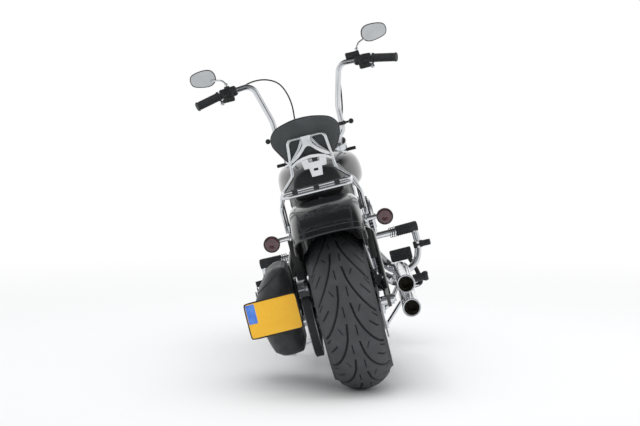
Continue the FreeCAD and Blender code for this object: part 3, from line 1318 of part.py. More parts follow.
def fork_fittings():
    """Small bullet indicators on the bars, and the four-point screen's lower studs."""
    y = fork_point(0, STEM + 30, v.clamp_high + v.clamp_wall + 62)[1]
    lamps, studs = [], []
    for side in (-1, 1):
        along = Vector(side * 2, -4, 140)
        foot = Vector(side * v.bar_base_x, y, v.bar_base_z)
        ring = rod(f"bar_ring_{side}", v.bar_radius + 6, 16, tuple(foot + along * 0.36), along)
        hole = rod(f"bar_ring_hole_{side}", v.bar_radius + v.fit, 60, tuple(foot + along * 0.2), along)
        bullet = turned(f"small_bullet_{side}", [(0, 0), (9, 2), (12, 8), (12, 26), (7, 36), (0, 38)],
                        (side * 197, y - 20, 1030), Rotation(Vector(0, 0, 1), Vector(0, 1, 0)),
                        role="XZ_Plane", axis="V_Axis")
        stalk = bar(f"small_stalk_{side}", 5, (side * 172, y - 2, 1030), (side * 190, y - 2, 1030))
        lamps.append(cut(f"small_lamp_{side}", fuse(f"small_parts_{side}", [ring, stalk, bullet]), hole))
        low = v.clamp_high - 34 - v.stud_step * side
        band = rod(f"stud_band_{side}", v.leg_radius + 6, 22, (side * v.leg_x, 0, low))
        band_hole = rod(f"stud_hole_{side}", v.leg_radius + v.fit, 60, (side * v.leg_x, 0, low - 10))
        post = turned(f"stud_post_{side}", [
            (0, -8), (12, -8), (12, 0), (8, 0), (8, v.stud_long), (6, v.stud_long + 2), (0, v.stud_long + 2),
        ], (side * STUD_FOOT, 0, low + 11), Rotation(Vector(0, 0, 1), Vector(side, 0, 0)), role="XZ_Plane",
                      axis="V_Axis")
        studs.append(on_fork(cut(f"stud_{side}", fuse(f"stud_parts_{side}", [band, post]), band_hole)))
    node("front_indicators", group("front_indicators", lamps))
    node("dock_studs", group("dock_studs", studs))


CLUTCH_CABLE = [
    (-260.8, 1250.1, 1299.2), (-226, 1256, 1314), (-152, 1262, 1316), (-88, 1264, 1286), (-60, 1268, 1232),
    (-49, 1274, 1168), (-54, 1286, 1105), (-62, 1304, 1020), (-62, 1322, 945), (-58, 1330, 850), (-62, 1334, 719),
    (-84, 1296, 620), (-104, 1256, 480), (-117, 1234, 380), (-119, 1208, 315), (-84, 1120, 292), (-70, 1066.9, 290),
]
BRAKE_LINE = [
    (261.2, 1250, 1299), (233, 1256, 1300), (208, 1262, 1286), (194, 1267, 1260), (190, 1269, 1205),
    (180, 1270, 1135), (168, 1280, 1076), fork_point(146, 52, 792), fork_point(112, 56, 738),
    fork_point(82, 36, 690), fork_point(66, 14, 640), fork_point(64, 27, 517), fork_point(48, 36, 462),
    fork_point(-24, 40, 440), fork_point(-80, -30, 412), fork_point(-90, -62, 330), fork_point(-84, -92, 250),
    fork_point(-62, -106, 210), fork_point(-62, -106, 170 + v.fit),
]


def widest_bends(points):
    """For each corner the radius of the largest arc that its two straight runs allow."""
    radii = []
    spots = [Vector(*point) for point in points]
    for before, corner, after in zip(spots, spots[1:], spots[2:]):
        turn = (corner - before).getAngle(after - corner)
        radii.append(0.45 * min((corner - before).Length, (after - corner).Length) / math.tan(turn / 2))
    return radii


def cords():
    """Clutch cable to the engine case, and the brake line to the front caliper."""
    for name, points in (("clutch_cable", CLUTCH_CABLE), ("brake_line", BRAKE_LINE)):
        bends = widest_bends(points)
        node(name, tube(name, v.cord_radius, points, bends))
        print(name, "bend radii", [round(radius) for radius in bends])


def side_stand():
    """Folding leg with its pin between the frame's two ears, and a flat foot on the ground."""
    lean = math.radians(float(v.lean))
    rise = v.rear_crown * (1 - math.cos(lean))
    front_rise = v.front_crown * (1 - math.cos(lean))
    slope = (rise - front_rise) / v.wheelbase
    up = Vector(math.sin(lean), -slope, math.cos(lean)).normalize()
    ground = Vector(-v.foot_x, v.foot_y, 0)
    ground.z = (-(rise - slope * v.foot_y) + math.sin(lean) * v.foot_x) / math.cos(lean)
    foot = rod("stand_foot", v.foot_radius, v.foot_wall, tuple(ground), up)
    boss = moved(rod("stand_boss", 17, 2 * EAR_GAP, (0, 0, -EAR_GAP)), stand_place())
    pin = moved(rod("stand_pin", 7, 2 * EAR_GAP + 24, (0, 0, -EAR_GAP - 12)), stand_place())
    hinge = Vector(-v.stand_x, v.stand_y, v.stand_z)
    top = ground + up * (v.foot_wall / 2)
    knee = hinge + (top - hinge) * 0.45 + Vector(-6, 0, 10)
    start = hinge + (knee - hinge).normalize() * 6
    leg = tube("stand_leg", 9, [tuple(start), tuple(knee), tuple(top)], (120,))
    return node("side_stand", fuse("side_stand", [foot, boss, pin, leg]))


for make in (
    wheels, frame, swingarm, rear_axle, engine_case, cylinders, valve_train, engine_covers, air_cleaner, exhaust,
    fuel_tank, tank_console, oil_tank, rear_fender, fender_struts, seat, sissy_bar, back_pad, luggage_rack,
    rear_indicators, plate_parts, saddlebag, belt, belt_guard, engine_guard, rubber_pegs, foot_controls, calipers,
    fork, handlebar, front_fender, headlamp, hand_controls, mirrors, fork_fittings, cords, side_stand,
):
    make()


doc.recompute()


PLACES = (
    ("rear_axle", rear_axle_at, (1, 0, 0)),
    ("front_axle", front_axle_at, (1, 0, 0)),
    ("steering", fork_point(0, STEM, (v.clamp_low + v.clamp_high + v.clamp_wall) / 2),
     (0, -math.sin(rake), math.cos(rake))),
    ("stand", (-v.stand_x, v.stand_y, v.stand_z), tuple(stand_place().Rotation.multVec(Vector(0, 0, 1)))),
    ("stud_right", fork_point(STUD_FOOT + v.stud_long / 2, 0, v.clamp_high - 23 - v.stud_step), (1, 0, 0)),
    ("stud_left", fork_point(-STUD_FOOT - v.stud_long / 2, 0, v.clamp_high - 23 + v.stud_step), (-1, 0, 0)),
    ("rack_top", (0, -110, v.rack_z + v.rack_radius - 1), (0, 0, 1)),
    ("plate_face", (-v.plate_x, v.plate_y, v.plate_z), (0, -1, 0)),
)


def finish():
    """Lean every piece onto the stand, check it and write it."""
    lean = math.radians(v.lean)
    rear_rise = v.rear_crown * (1 - math.cos(lean))
    front_rise = v.front_crown * (1 - math.cos(lean))
    nose = math.asin((front_rise - rear_rise) / v.wheelbase)
    tilt = Rotation(Vector(1, 0, 0), math.degrees(nose)).multiply(Rotation(Vector(0, 1, 0), -float(v.lean)))
    leaned = Placement(Vector(0, 0, float(rear_rise)), tilt)
    for made in doc.Objects:
        if {"Invalid", "Error"} & set(made.State):
            raise RuntimeError(f"{made.Label} of {[p.Name for p in made.InList]}: {made.State}")
    for made in NODES.values():
        moved(made, leaned)
    box = FreeCAD.BoundBox()
    for made in NODES.values():
        box.add(made.Shape.optimalBoundingBox())
    shift = Placement(Vector(-box.Center.x, -box.Center.y, 0), Rotation())
    for name, made in NODES.items():
        moved(made, shift)
        if made.Shape.isNull() or not made.Shape.isValid():
            raise RuntimeError(f"{name}: no valid shape")
        made.Shape.exportStep(f"parts/{name}.step")
        print(name, len(made.Shape.Solids), round(made.Shape.Volume / 1000), "cm3")
    print("box", box, "shift", shift.Base)
    whole = shift.multiply(leaned)
    for name, at, way in PLACES:
        spot, turn = whole.multVec(Vector(*at)) / 1000, whole.Rotation.multVec(Vector(*way))
        print("place", name, *(round(number, 6) for number in (*spot, *turn)))


finish()
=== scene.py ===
# %% [markdown]
# # A chopper motorcycle on its side stand
# The machine comes from CAD as a set of exact solids, one for each part that a mechanic would name. This
# lesson dresses them: it gives each solid a finish, puts modelled pieces in the place of the tyres,
# leather and lamps, and adds the small hardware that makes a machine look real. Lengths are written in
# millimetres.

# %% Load the solids
import json
import math

import bmesh
import bpy
import numpy as np
from mathutils import Matrix, Vector


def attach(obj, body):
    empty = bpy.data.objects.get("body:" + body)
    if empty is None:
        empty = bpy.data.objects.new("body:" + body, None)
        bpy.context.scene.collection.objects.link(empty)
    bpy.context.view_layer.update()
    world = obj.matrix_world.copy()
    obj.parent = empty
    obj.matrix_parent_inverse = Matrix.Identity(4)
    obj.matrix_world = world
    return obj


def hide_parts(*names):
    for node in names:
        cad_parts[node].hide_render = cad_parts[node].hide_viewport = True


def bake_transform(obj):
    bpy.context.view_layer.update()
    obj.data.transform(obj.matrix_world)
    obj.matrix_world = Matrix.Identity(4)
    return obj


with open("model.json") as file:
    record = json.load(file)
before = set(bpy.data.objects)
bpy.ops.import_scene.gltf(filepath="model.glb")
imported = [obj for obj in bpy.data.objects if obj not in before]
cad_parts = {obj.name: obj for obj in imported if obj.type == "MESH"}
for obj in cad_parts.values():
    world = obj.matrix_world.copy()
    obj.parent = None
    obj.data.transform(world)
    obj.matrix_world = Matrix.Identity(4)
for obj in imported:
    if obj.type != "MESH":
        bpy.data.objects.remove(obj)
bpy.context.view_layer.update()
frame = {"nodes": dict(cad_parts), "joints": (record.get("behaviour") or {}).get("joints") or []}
solids = frame["nodes"]

# %% [markdown]
# The motorcycle leans 14 degrees to its left, which makes it awkward to measure. So everything is modelled
# in the machine's own upright space (X right, Y ahead, Z up, zero on the ground under the rear axle) and
# carried onto the leaning solids by one matrix. The two wheel joints give that matrix, so nothing is
# fitted by eye.

# %% The motorcycle's own space
REAR_RADIUS, FRONT_RADIUS, WHEELBASE, RAKE = 325, 345, 1710, 35
STEM = -79.1  # the steering stem's place in the fork's own space, behind the line of the legs
joints = {joint["name"]: joint for joint in frame["joints"]}
rear_hub, front_hub = (Vector(joints[name]["pos_m"]) for name in ("rear_wheel", "front_wheel"))
right = Vector(joints["rear_wheel"]["axis"]).normalized()
between = (front_hub - rear_hub).normalized()
ahead = Matrix.Rotation(-math.atan2(FRONT_RADIUS - REAR_RADIUS, WHEELBASE), 3, right) @ between
up = right.cross(ahead).normalized()
BIKE = Matrix((right, ahead, up)).transposed().to_4x4()
BIKE.translation = rear_hub - up * REAR_RADIUS / 1000
BIKE = BIKE @ Matrix.Scale(0.001, 4)
FORK = Matrix.Translation((0, WHEELBASE, FRONT_RADIUS)) @ Matrix.Rotation(math.radians(RAKE), 4, "X")
FORK_TURN = FORK.to_3x3().to_4x4()
print("front axle lands", (BIKE @ FORK.translation - front_hub).length * 1000, "mm from its joint")


def fork_point(x, forward, along):
    """A point in the fork's own space, which starts at the front axle and climbs along the legs."""
    return FORK @ Vector((x, forward, along))

# %% [markdown]
# ## Camera
# The photograph was taken from about eight metres behind the rear axle, a little higher than the back pad,
# with a long lens. A long lens flattens the machine, which is why the bars and the rear tyre look equally
# near. The camera comes first, so that every later choice can be checked against the same picture.

# %% Camera
camera = bpy.data.objects.new("camera", bpy.data.cameras.new("camera"))
bpy.context.scene.collection.objects.link(camera)
bpy.context.scene.camera = camera
bpy.context.scene.view_settings.view_transform = "Standard"
camera.data.lens, camera.data.sensor_width = 112.5, 36
camera.location = (0.0985, -8.865, 1.26)
camera.rotation_euler = (math.radians(90 - 3.947), 0, math.radians(0.347))

# %% [markdown]
# ## Finishes
# Every material below is built from Blender's shader nodes. One small function adds a node with its
# settings and links, and one turns the hex colours that painters use into the linear values that light
# adds up in. Patterns are measured in metres on Object coordinates, which here are the same as the
# world's.

# %% Helpers for materials
def linear(code):
    """An sRGB hex colour as linear RGBA."""
    shares = [int(code[start:start + 2], 16) / 255 for start in (1, 3, 5)]
    curved = [share / 12.92 if share <= 0.04045 else ((share + 0.055) / 1.055) ** 2.4 for share in shares]
    return curved + [1]


def add(tree, kind, links=None, values=None, **settings):
    """Add one node: settings are its own options, values its inputs, links what feeds them."""
    made = tree.nodes.new(kind)
    for name, value in settings.items():
        setattr(made, name, value)
    for name, value in (values or {}).items():
        made.inputs[name].default_value = value
    for name, socket in (links or {}).items():
        tree.links.new(socket, made.inputs[name])
    return made


def finish(name, **constants):
    """An empty material with a Principled shader, its constants set on the shader's own sockets."""
    material = bpy.data.materials.new(name)
    material.use_nodes = True
    tree = material.node_tree
    shader = tree.nodes["Principled BSDF"]
    for socket, value in constants.items():
        shader.inputs[socket.replace("_", " ")].default_value = value
    place = add(tree, "ShaderNodeTexCoord").outputs["Object"]
    return material, tree, shader, place


def mottled(tree, shader, place, colours, size, rough, detail=4):
    """Two colours and two roughnesses, mixed by a soft cloud whose patches are size metres across."""
    cloud = add(tree, "ShaderNodeTexNoise", {"Vector": place}, {"Scale": 1 / size, "Detail": detail})
    mixing = add(tree, "ShaderNodeMapRange", {"Value": cloud.outputs["Fac"]}, {1: 0.35, 2: 0.65})
    share = mixing.outputs["Result"]
    paint = add(tree, "ShaderNodeMix", {"Factor": share}, data_type="RGBA")
    paint.inputs["A"].default_value, paint.inputs["B"].default_value = (linear(code) for code in colours)
    tree.links.new(paint.outputs["Result"], shader.inputs["Base Color"])
    gloss = add(tree, "ShaderNodeMapRange", {"Value": share}, {3: rough[0], 4: rough[1]})
    tree.links.new(gloss.outputs["Result"], shader.inputs["Roughness"])
    return paint


def raised(tree, shader, height, distance):
    """Bump from a height, distance in metres."""
    bump = add(tree, "ShaderNodeBump", {"Height": height}, {"Distance": distance, "Strength": 1})
    tree.links.new(bump.outputs["Normal"], shader.inputs["Normal"])


def coat(name, colours, size, rough, grain=None, cells=None, **constants):
    """A whole finish; in metres, grain is raised noise's (width, detail, height), cells (width, height)."""
    material, tree, shader, place = finish(name, **constants)
    mottled(tree, shader, place, colours, size, rough)
    if grain:
        width, detail, height = grain
        noise = add(tree, "ShaderNodeTexNoise", {"Vector": place}, {"Scale": 1 / width, "Detail": detail})
        raised(tree, shader, noise.outputs["Fac"], height)
    if cells:
        width, height = cells
        voronoi = add(tree, "ShaderNodeTexVoronoi", {"Vector": place}, {"Scale": 1 / width})
        raised(tree, shader, voronoi.outputs["Distance"], height)
    return material

# %% [markdown]
# Chrome is a mirror-bright plate a few hundredths of a millimetre thick. It has almost no colour of its
# own, so its look comes from what it reflects; wiping leaves a faint haze, drawn here as roughness patches
# 60 mm wide.

# %% Chrome plate
chrome = coat("chrome_plate", ("#d9dbde", "#cfd2d6"), 0.06, (0.045, 0.11), Metallic=1)

# %% [markdown]
# The fenders, tank and frame wear black lacquer under a clear coat. The colour is nearly black; the clear
# coat carries the sharp reflection, and a slight orange peel of 3 mm waves keeps it from looking like
# glass.

# %% Black lacquer
lacquer = coat("clear_coated_lacquer", ("#0d0e10", "#121417"), 0.2, (0.2, 0.3), grain=(0.003, 1, 0.00003),
               Coat_Weight=1, Coat_Roughness=0.03)

# %% [markdown]
# Powder coat is baked plastic dust. It is satin rather than glossy and has a fine pebbled skin; its grains
# of about half a millimetre are drawn at 0.9 mm so that they show.

# %% Satin black powder coat
powder = coat("powder_coat", ("#17181a", "#1f2123"), 0.05, (0.38, 0.52), grain=(0.0009, 2, 0.00008),
              Metallic=0)

# %% [markdown]
# Cast aluminium that has been blasted and half polished is the colour of the crankcase: grey, metallic,
# with a sandy skin of 1.2 mm lumps.

# %% Cast aluminium
alloy = coat("cast_aluminium", ("#9b9ea2", "#adb0b4"), 0.03, (0.3, 0.48), grain=(0.0012, 3, 0.00006),
             Metallic=1)

# %% [markdown]
# Brake discs, pulley faces and bolts are bare steel. Grinding leaves fine parallel lines, stretched noise
# here.

# %% Ground steel
steel, tree, shader, place = finish("ground_steel", Metallic=1)
mottled(tree, shader, place, ("#8f9296", "#a6a9ad"), 0.02, (0.22, 0.36))
lines = add(tree, "ShaderNodeMapping", {"Vector": place}, {"Scale": (300, 1800, 300)}).outputs["Vector"]
scratch = add(tree, "ShaderNodeTexNoise", {"Vector": lines}, {"Scale": 1, "Detail": 2}).outputs["Fac"]
raised(tree, shader, scratch, 0.00002)

# %% [markdown]
# Tyre rubber is dark grey, never black: road dust fills its pores. An attribute that the tread writes
# ("groove", 0 at the skin and 1 at the bottom) darkens the rubber down in a groove towards near black,
# as painted shade for the little light that reaches there.

# %% Tyre rubber
tyre_rubber, tree, shader, place = finish("tyre_rubber", Specular_IOR_Level=0.35)
dust = mottled(tree, shader, place, ("#3f4144", "#4a4c4f"), 0.05, (0.62, 0.8), detail=8)
depth = add(tree, "ShaderNodeAttribute", attribute_name="groove").outputs["Fac"]
# Painted shade: the groove attribute mixes the rubber towards near black down in the grooves.
painted_groove_shade = add(tree, "ShaderNodeMix", {"Factor": depth, "A": dust.outputs["Result"]}, data_type="RGBA")
painted_groove_shade.inputs["B"].default_value = linear("#191a1c")
tree.links.new(painted_groove_shade.outputs["Result"], shader.inputs["Base Color"])
pores = add(tree, "ShaderNodeTexNoise", {"Vector": place}, {"Scale": 1 / 0.0015, "Detail": 4}).outputs["Fac"]
raised(tree, shader, pores, 0.00012)

# %% [markdown]
# Pegs, grips and sleeves are moulded rubber: blacker and smoother than a tyre, a little shiny where boots
# rub.

# %% Moulded rubber
rubber = coat("moulded_rubber", ("#222426", "#2c2e30"), 0.012, (0.5, 0.7), Specular_IOR_Level=0.4)

# %% [markdown]
# Leather has a grain of small cells with creases between them. Voronoi cells 1.6 mm wide give the creases
# (real ones are nearer 1 mm, too fine to show), and a slow cloud varies the dye. Three dyes are used:
# black on the seat, slate on the back pad, and a dusty charcoal on the bag.

# %% Leathers
CREASE_DEPTH = 0.00018


def leather(name, colours, rough, cell=0.0016):
    """Dyed leather with creases between cells, both in metres."""
    made, tree, shader, place = finish(name, Sheen_Weight=0.12, Sheen_Roughness=0.5, Specular_IOR_Level=0.45)
    mottled(tree, shader, place, colours, 0.04, rough, detail=6)
    cells = add(tree, "ShaderNodeTexVoronoi", {"Vector": place}, {"Scale": 1 / cell},
                feature="DISTANCE_TO_EDGE")
    crease = add(tree, "ShaderNodeMapRange", {"Value": cells.outputs["Distance"]}, {1: 0.0, 2: 0.18})
    raised(tree, shader, crease.outputs["Result"], CREASE_DEPTH)
    return made


seat_leather = leather("seat_leather", ("#17181a", "#212326"), (0.36, 0.5))
pad_leather = leather("slate_leather", ("#393e40", "#424749"), (0.5, 0.64))
bag_leather = leather("charcoal_leather", ("#303334", "#434647"), (0.42, 0.6), cell=0.002)

# %% [markdown]
# Engine black is a crackle paint baked on the barrels; heat and oil leave it duller in patches.

# %% Engine black
engine_black = coat("crackle_paint", ("#141516", "#1e2021"), 0.03, (0.42, 0.6), cells=(0.0014, 0.00007),
                    Metallic=0)

# %% [markdown]
# Smoked lenses are dyed acrylic over a bright bowl: a dark wine colour with a hard gloss. The number plate
# is a reflecting film of tiny beads on aluminium, so its colours sparkle slightly. Silvered and clear
# glass, the soot inside the mufflers and the enamel of the dial need no relief of their own.

# %% Lens, plate film, glass, soot and enamel
smoked = coat("smoked_acrylic", ("#3c1a20", "#512830"), 0.012, (0.1, 0.16), Coat_Weight=1,
              Coat_Roughness=0.02)
film_yellow, film_blue = (
    coat(name, colours, 0.02, (0.35, 0.45), cells=(0.0012, 0.00003), Coat_Weight=0.3) for name, colours in (
        ("plate_film_yellow", ("#ffbe12", "#ffc420")), ("plate_film_blue", ("#3f7ae0", "#5a92ee"))))
mirror_glass = coat("silvered_glass", ("#b4b7ba", "#bcbfc2"), 0.05, (0.02, 0.05), Metallic=1)
clear_glass = coat("clear_glass", ("#f4f6f8", "#ffffff"), 0.05, (0.01, 0.03), Transmission_Weight=1, IOR=1.5)
soot = coat("sooty_steel", ("#1c1a14", "#39352a"), 0.01, (0.5, 0.7), Metallic=0.4)
dial_face = coat("dial_enamel", ("#e2e3e0", "#eaebe8"), 0.02, (0.3, 0.4), Coat_Weight=0.6)

# %% [markdown]
# ## Finishing the solids
# Most solids are already the right shape, so each only needs its finish. Assigning the material to the
# slot of the solid keeps its mesh untouched.

# %% Dress the solids
finishes = {
    lacquer: "frame swingarm fuel_tank oil_tank rear_fender front_fender rear_rim front_rim",
    chrome: "rear_axle valve_train engine_covers air_cleaner exhaust tank_console fender_struts sissy_bar "
            "luggage_rack belt_guard engine_guard fork_legs triple_clamps handlebar mirrors "
            "headlamp side_stand foot_controls",
    alloy: "engine_case", engine_black: "cylinders", steel: "rear_pulley rear_disc front_disc",
    powder: "rear_caliper front_caliper plate_bracket front_indicators hand_controls dock_studs",
    rubber: "drive_belt rubber_pegs grips clutch_cable brake_line", tyre_rubber: "rear_tyre front_tyre",
    seat_leather: "seat", pad_leather: "back_pad", bag_leather: "saddlebag", smoked: "rear_indicators",
    film_yellow: "number_plate",
}
for material, names in finishes.items():
    for name in names.split():
        for slot in solids[name].material_slots:
            slot.material = material
print("without a finish:", set(solids) - {name for names in finishes.values() for name in names.split()})

# %% [markdown]
# ## Modelling
# A piece is built in a bmesh in the motorcycle's own millimetres, from spun outlines, blocks and pipes. At
# the end one function carries it onto the leaning machine, shades it and lets it ride on its body. Turned
# parts such as bolts, caps and rings are an outline spun round a line, as a lathe would cut them.

# %% Helpers for shapes
X, Y, Z = Vector((1, 0, 0)), Vector((0, 1, 0)), Vector((0, 0, 1))
SIDES = (-1, 1)  # left, right
OUT = 300  # how far from the middle a ray starts, well outside the machine


def fresh(bm, old):
    """The vertices that weren't there before."""
    return [vert for vert in bm.verts if vert not in old]


def facing(way):
    """The turn that carries the Z axis to a direction."""
    return Z.rotation_difference(Vector(way)).to_matrix().to_4x4()


def spaced(count, start=0):
    """The angles of count places set evenly round a circle."""
    return [math.tau * step / count + start for step in range(count)]


def turn(bm, outline, at=(0, 0, 0), way=(0, 0, 1), steps=32, closed=False):
    """Spin an outline of (radius, height) pairs round the line that leaves at along way."""
    old = set(bm.verts)
    row = [bm.verts.new((radius, 0, height)) for radius, height in outline]
    runs = [bm.edges.new(pair) for pair in zip(row, row[1:] + row[:1] * closed)]
    bmesh.ops.spin(bm, geom=row + runs, cent=(0, 0, 0), axis=(0, 0, 1), angle=math.tau, steps=steps,
                   use_merge=True)
    bmesh.ops.remove_doubles(bm, verts=fresh(bm, old), dist=0.001)
    bmesh.ops.transform(bm, matrix=Matrix.Translation(at) @ facing(way), verts=fresh(bm, old))
    return fresh(bm, old)


def ring(bm, radius, thick, at=(0, 0, 0), way=(0, 0, 1), steps=48, sides=12):
    """A round wire bent to a circle."""
    outline = [(radius + thick * math.cos(math.tau * side / sides), thick * math.sin(math.tau * side / sides))
               for side in range(sides)]
    return turn(bm, outline, at, way, steps, closed=True)


def block(bm, size, at, soft=2, turned=Matrix.Identity(4), segments=3):
    """A box about its middle, with rounded edges."""
    old = set(bm.verts)
    bmesh.ops.create_cube(bm, size=1, matrix=Matrix.Diagonal((*size, 1)))
    edges = [edge for edge in bm.edges if edge.verts[0] not in old]
    if soft:
        bmesh.ops.bevel(bm, geom=edges, offset=soft, segments=segments, profile=0.5, affect="EDGES",
                        material=-1)
    bmesh.ops.transform(bm, matrix=Matrix.Translation(at) @ turned, verts=fresh(bm, old))
    return fresh(bm, old)


def route(points, closed=False):
    """A smooth NURBS line as the middle of a hose, a seam or a strap."""
    curve = bpy.data.curves.new("route", "CURVE")
    curve.dimensions = "3D"
    line = curve.splines.new("NURBS")
    line.points.add(len(points) - 1)
    for point, spot in zip(line.points, points):
        point.co = (*spot, 1)
    line.order_u = 3
    line.use_cyclic_u = closed
    line.use_endpoint_u = not closed
    return curve


def drawn(bm, curve, merge):
    """Add the mesh that a curve draws, with points nearer than merge joined, and remove the curve."""
    holder = bpy.data.objects.new("drawn", curve)
    shape = bpy.data.meshes.new_from_object(holder)
    old = set(bm.verts)
    bm.from_mesh(shape)
    bmesh.ops.remove_doubles(bm, verts=fresh(bm, old), dist=merge)
    bpy.data.objects.remove(holder)
    bpy.data.curves.remove(curve)
    bpy.data.meshes.remove(shape)
    return fresh(bm, old)


def pipe(bm, points, radius, steps=8, closed=False):
    """A round bar or hose along a smooth line, capped at its ends."""
    curve = route(points, closed=closed)
    curve.bevel_depth, curve.bevel_resolution, curve.resolution_u = radius, 3, steps
    curve.use_fill_caps = not closed
    return drawn(bm, curve, 0.001)


def pulled_flat(bm, corners, thick):
    """A flat sheet between its corners, made thick by a vector."""
    face = bm.faces.new([bm.verts.new(corner) for corner in corners])
    pulled = bmesh.ops.extrude_face_region(bm, geom=[face])["geom"]
    moving = [part for part in pulled if isinstance(part, bmesh.types.BMVert)]
    bmesh.ops.translate(bm, verts=moving, vec=thick)


def bolt(bm, at, way, across=8, tall=None, sides=6):
    """A hexagon head with a broken top edge on a round washer."""
    tall = tall or across * 0.6
    turn(bm, [(0, 0), (across * 1.05, 0), (across * 1.05, tall * 0.2), (0, tall * 0.2)], at, way, steps=20)
    head = [(0, 0), (across * 0.86, 0), (across * 0.86, tall * 0.85), (across * 0.72, tall), (0, tall)]
    turn(bm, head, at, way, steps=sides)


def dome(bm, at, way, radius=6, tall=None):
    """A round button head with a round socket."""
    tall = tall or radius * 0.7
    outline = [(0, -0.5), (1, -0.5), (1, 0.3), (0.9, 0.65), (0.6, 1), (0.42, 1), (0.42, 0.4), (0, 0.4)]
    turn(bm, [(radius * x, tall * z if z > 0 else z) for x, z in outline], at, way, steps=18)


def touch(name, start, way):
    """Where a line from start along way first meets a CAD solid, so that a screw sits on its real surface."""
    solid = solids[name]
    inward = solid.matrix_world.inverted() @ BIKE
    met, spot, _, _ = solid.ray_cast(inward @ Vector(start), (inward.to_3x3() @ Vector(way)).normalized())
    assert met, (name, start)
    return BIKE.inverted() @ (solid.matrix_world @ spot)


def piece(bm, name, body, materials, replaces=(), sharp=35, place=BIKE):
    """Carry a bmesh onto the leaning machine as one finished piece; body is None for one that rides on no
    body.
    """
    bmesh.ops.transform(bm, matrix=place, verts=bm.verts)
    bmesh.ops.recalc_face_normals(bm, faces=bm.faces)
    shape = bpy.data.meshes.new(name)
    bm.to_mesh(shape)
    bm.free()
    shape.shade_smooth()
    shape.set_sharp_from_angle(angle=math.radians(sharp))
    for material in materials if isinstance(materials, tuple) else (materials,):
        shape.materials.append(material)
    made = bpy.data.objects.new(name, shape)
    bpy.context.scene.collection.objects.link(made)
    if body:
        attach(made, body)
    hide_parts(*replaces)
    return made


def arc(start, end, radius, steps, bulge=1):
    """Points of an arc from start to end; bulge 1 bows it to the left of that way, -1 to the right."""
    first, last = Vector(start), Vector(end)
    chord = last - first
    side = Vector((-chord.y, chord.x)).normalized() * bulge
    middle = (first + last) / 2 - side * math.sqrt(max(radius ** 2 - chord.length_squared / 4, 0))
    swing = (last - middle).angle_signed(first - middle)
    return [tuple(middle + Matrix.Rotation(swing * step / steps, 2) @ (first - middle))
            for step in range(steps + 1)]


# %% [markdown]
# ## Tyres
# A radial touring tyre has a round crown with curved grooves that lead water from the middle to the
# shoulders. The same few grooves repeat round the tyre, so only one repeat is modelled: its cross-section
# is spun through one pitch, the skin sinks wherever a groove's centre line runs near, and spin's own
# duplicates close the circle. The depth of the cut goes into an attribute as well, which the rubber's
# material reads to paint shade in the grooves.

# %% Tread
def sunk_by(across, swing, radius, grooves, pitch):
    """How far the skin sinks, in millimetres, at a place across the tyre and swing degrees into the pitch."""
    deepest = 0
    for line, wide, deep in grooves:
        for lap in (-3, -2, -1, 0, 1, 2):
            local = Vector((across, math.radians(swing - lap * pitch) * radius))
            for start, end in zip(line, line[1:]):
                first = Vector((start[0], math.radians(start[1]) * radius))
                last = Vector((end[0], math.radians(end[1]) * radius))
                run = last - first
                share = min(max((local - first).dot(run) / run.length_squared, 0), 1)
                away = (first + run * share - local).length
                deepest = max(deepest, deep * min(max((wide / 2 + 1.1 - away) / 1.8, 0), 1))
    return deepest


def section(radius, half, crown, crown_half, bead, foot):
    """A tyre's cross-section in (across, radius), and the radius where its sidewall ends."""
    shoulder = radius - crown + math.sqrt(crown ** 2 - crown_half ** 2)
    wall = shoulder - 20
    side = arc((bead, foot + 12), (half, wall), 45, 6, -1)
    side += arc((half, wall), (crown_half, shoulder), 30, 8, 1)[1:]
    count = round(crown * math.asin(crown_half / crown) * 2 / 3)
    top = arc((crown_half, shoulder), (-crown_half, shoulder), crown, count, -1)[1:-1]
    return [(bead, foot)] + side + top + [(-x, r) for x, r in reversed(side)] + [(-bead, foot)], wall


def tyre(name, body, hub, sizes, pitches, steps, grooves, offsets):
    """A tyre with its tread: sizes go to section, offsets turn the right and left grooves, in degrees."""
    outline, wall = section(*sizes)
    centre = sizes[0] - sizes[2]
    pitch = 360 / pitches
    bm = bmesh.new()
    groove = bm.verts.layers.float.new("groove")
    row = [bm.verts.new((across, -far, 0)) for across, far in outline]
    runs = [bm.edges.new(pair) for pair in zip(row, row[1:] + row[:1])]
    bmesh.ops.spin(bm, geom=row + runs, cent=(0, 0, 0), axis=(1, 0, 0), angle=math.radians(-pitch),
                   steps=steps)
    for vert in bm.verts:
        far = math.hypot(vert.co.y, vert.co.z)
        if far > wall + 6:
            start = offsets[vert.co.x < 0]
            swing = -math.degrees(math.atan2(vert.co.z, -vert.co.y)) - start
            cut = sunk_by(abs(vert.co.x), swing, far, grooves, pitch)
            share = 1 - centre / far
            out = Vector((vert.co.x, vert.co.y * share, vert.co.z * share)).normalized()
            vert.co -= out * cut
            # The groove's depth, which the rubber's material turns into painted shade.
            vert[groove] = min(cut / 4, 1)
    bmesh.ops.spin(bm, geom=bm.verts[:] + bm.edges[:] + bm.faces[:], cent=(0, 0, 0), axis=(1, 0, 0),
                   angle=math.radians(-pitch * (pitches - 1)), steps=pitches - 1, use_duplicate=True)
    bmesh.ops.remove_doubles(bm, verts=bm.verts, dist=0.02)
    made = piece(bm, name, body, tyre_rubber, (name.replace("_tread", "_tyre"),), 50,
                 BIKE @ Matrix.Translation(hub))
    print(name, len(made.data.polygons) * 2, "triangles")


def bent(start, end, bow=1.0, steps=7):
    """A groove's centre line, quick round the tyre at first and then bending out to the shoulder."""
    shares = [step / steps for step in range(steps + 1)]
    return [(start[0] + (end[0] - start[0]) * share, start[1] + (end[1] - start[1]) * share ** bow)
            for share in shares]


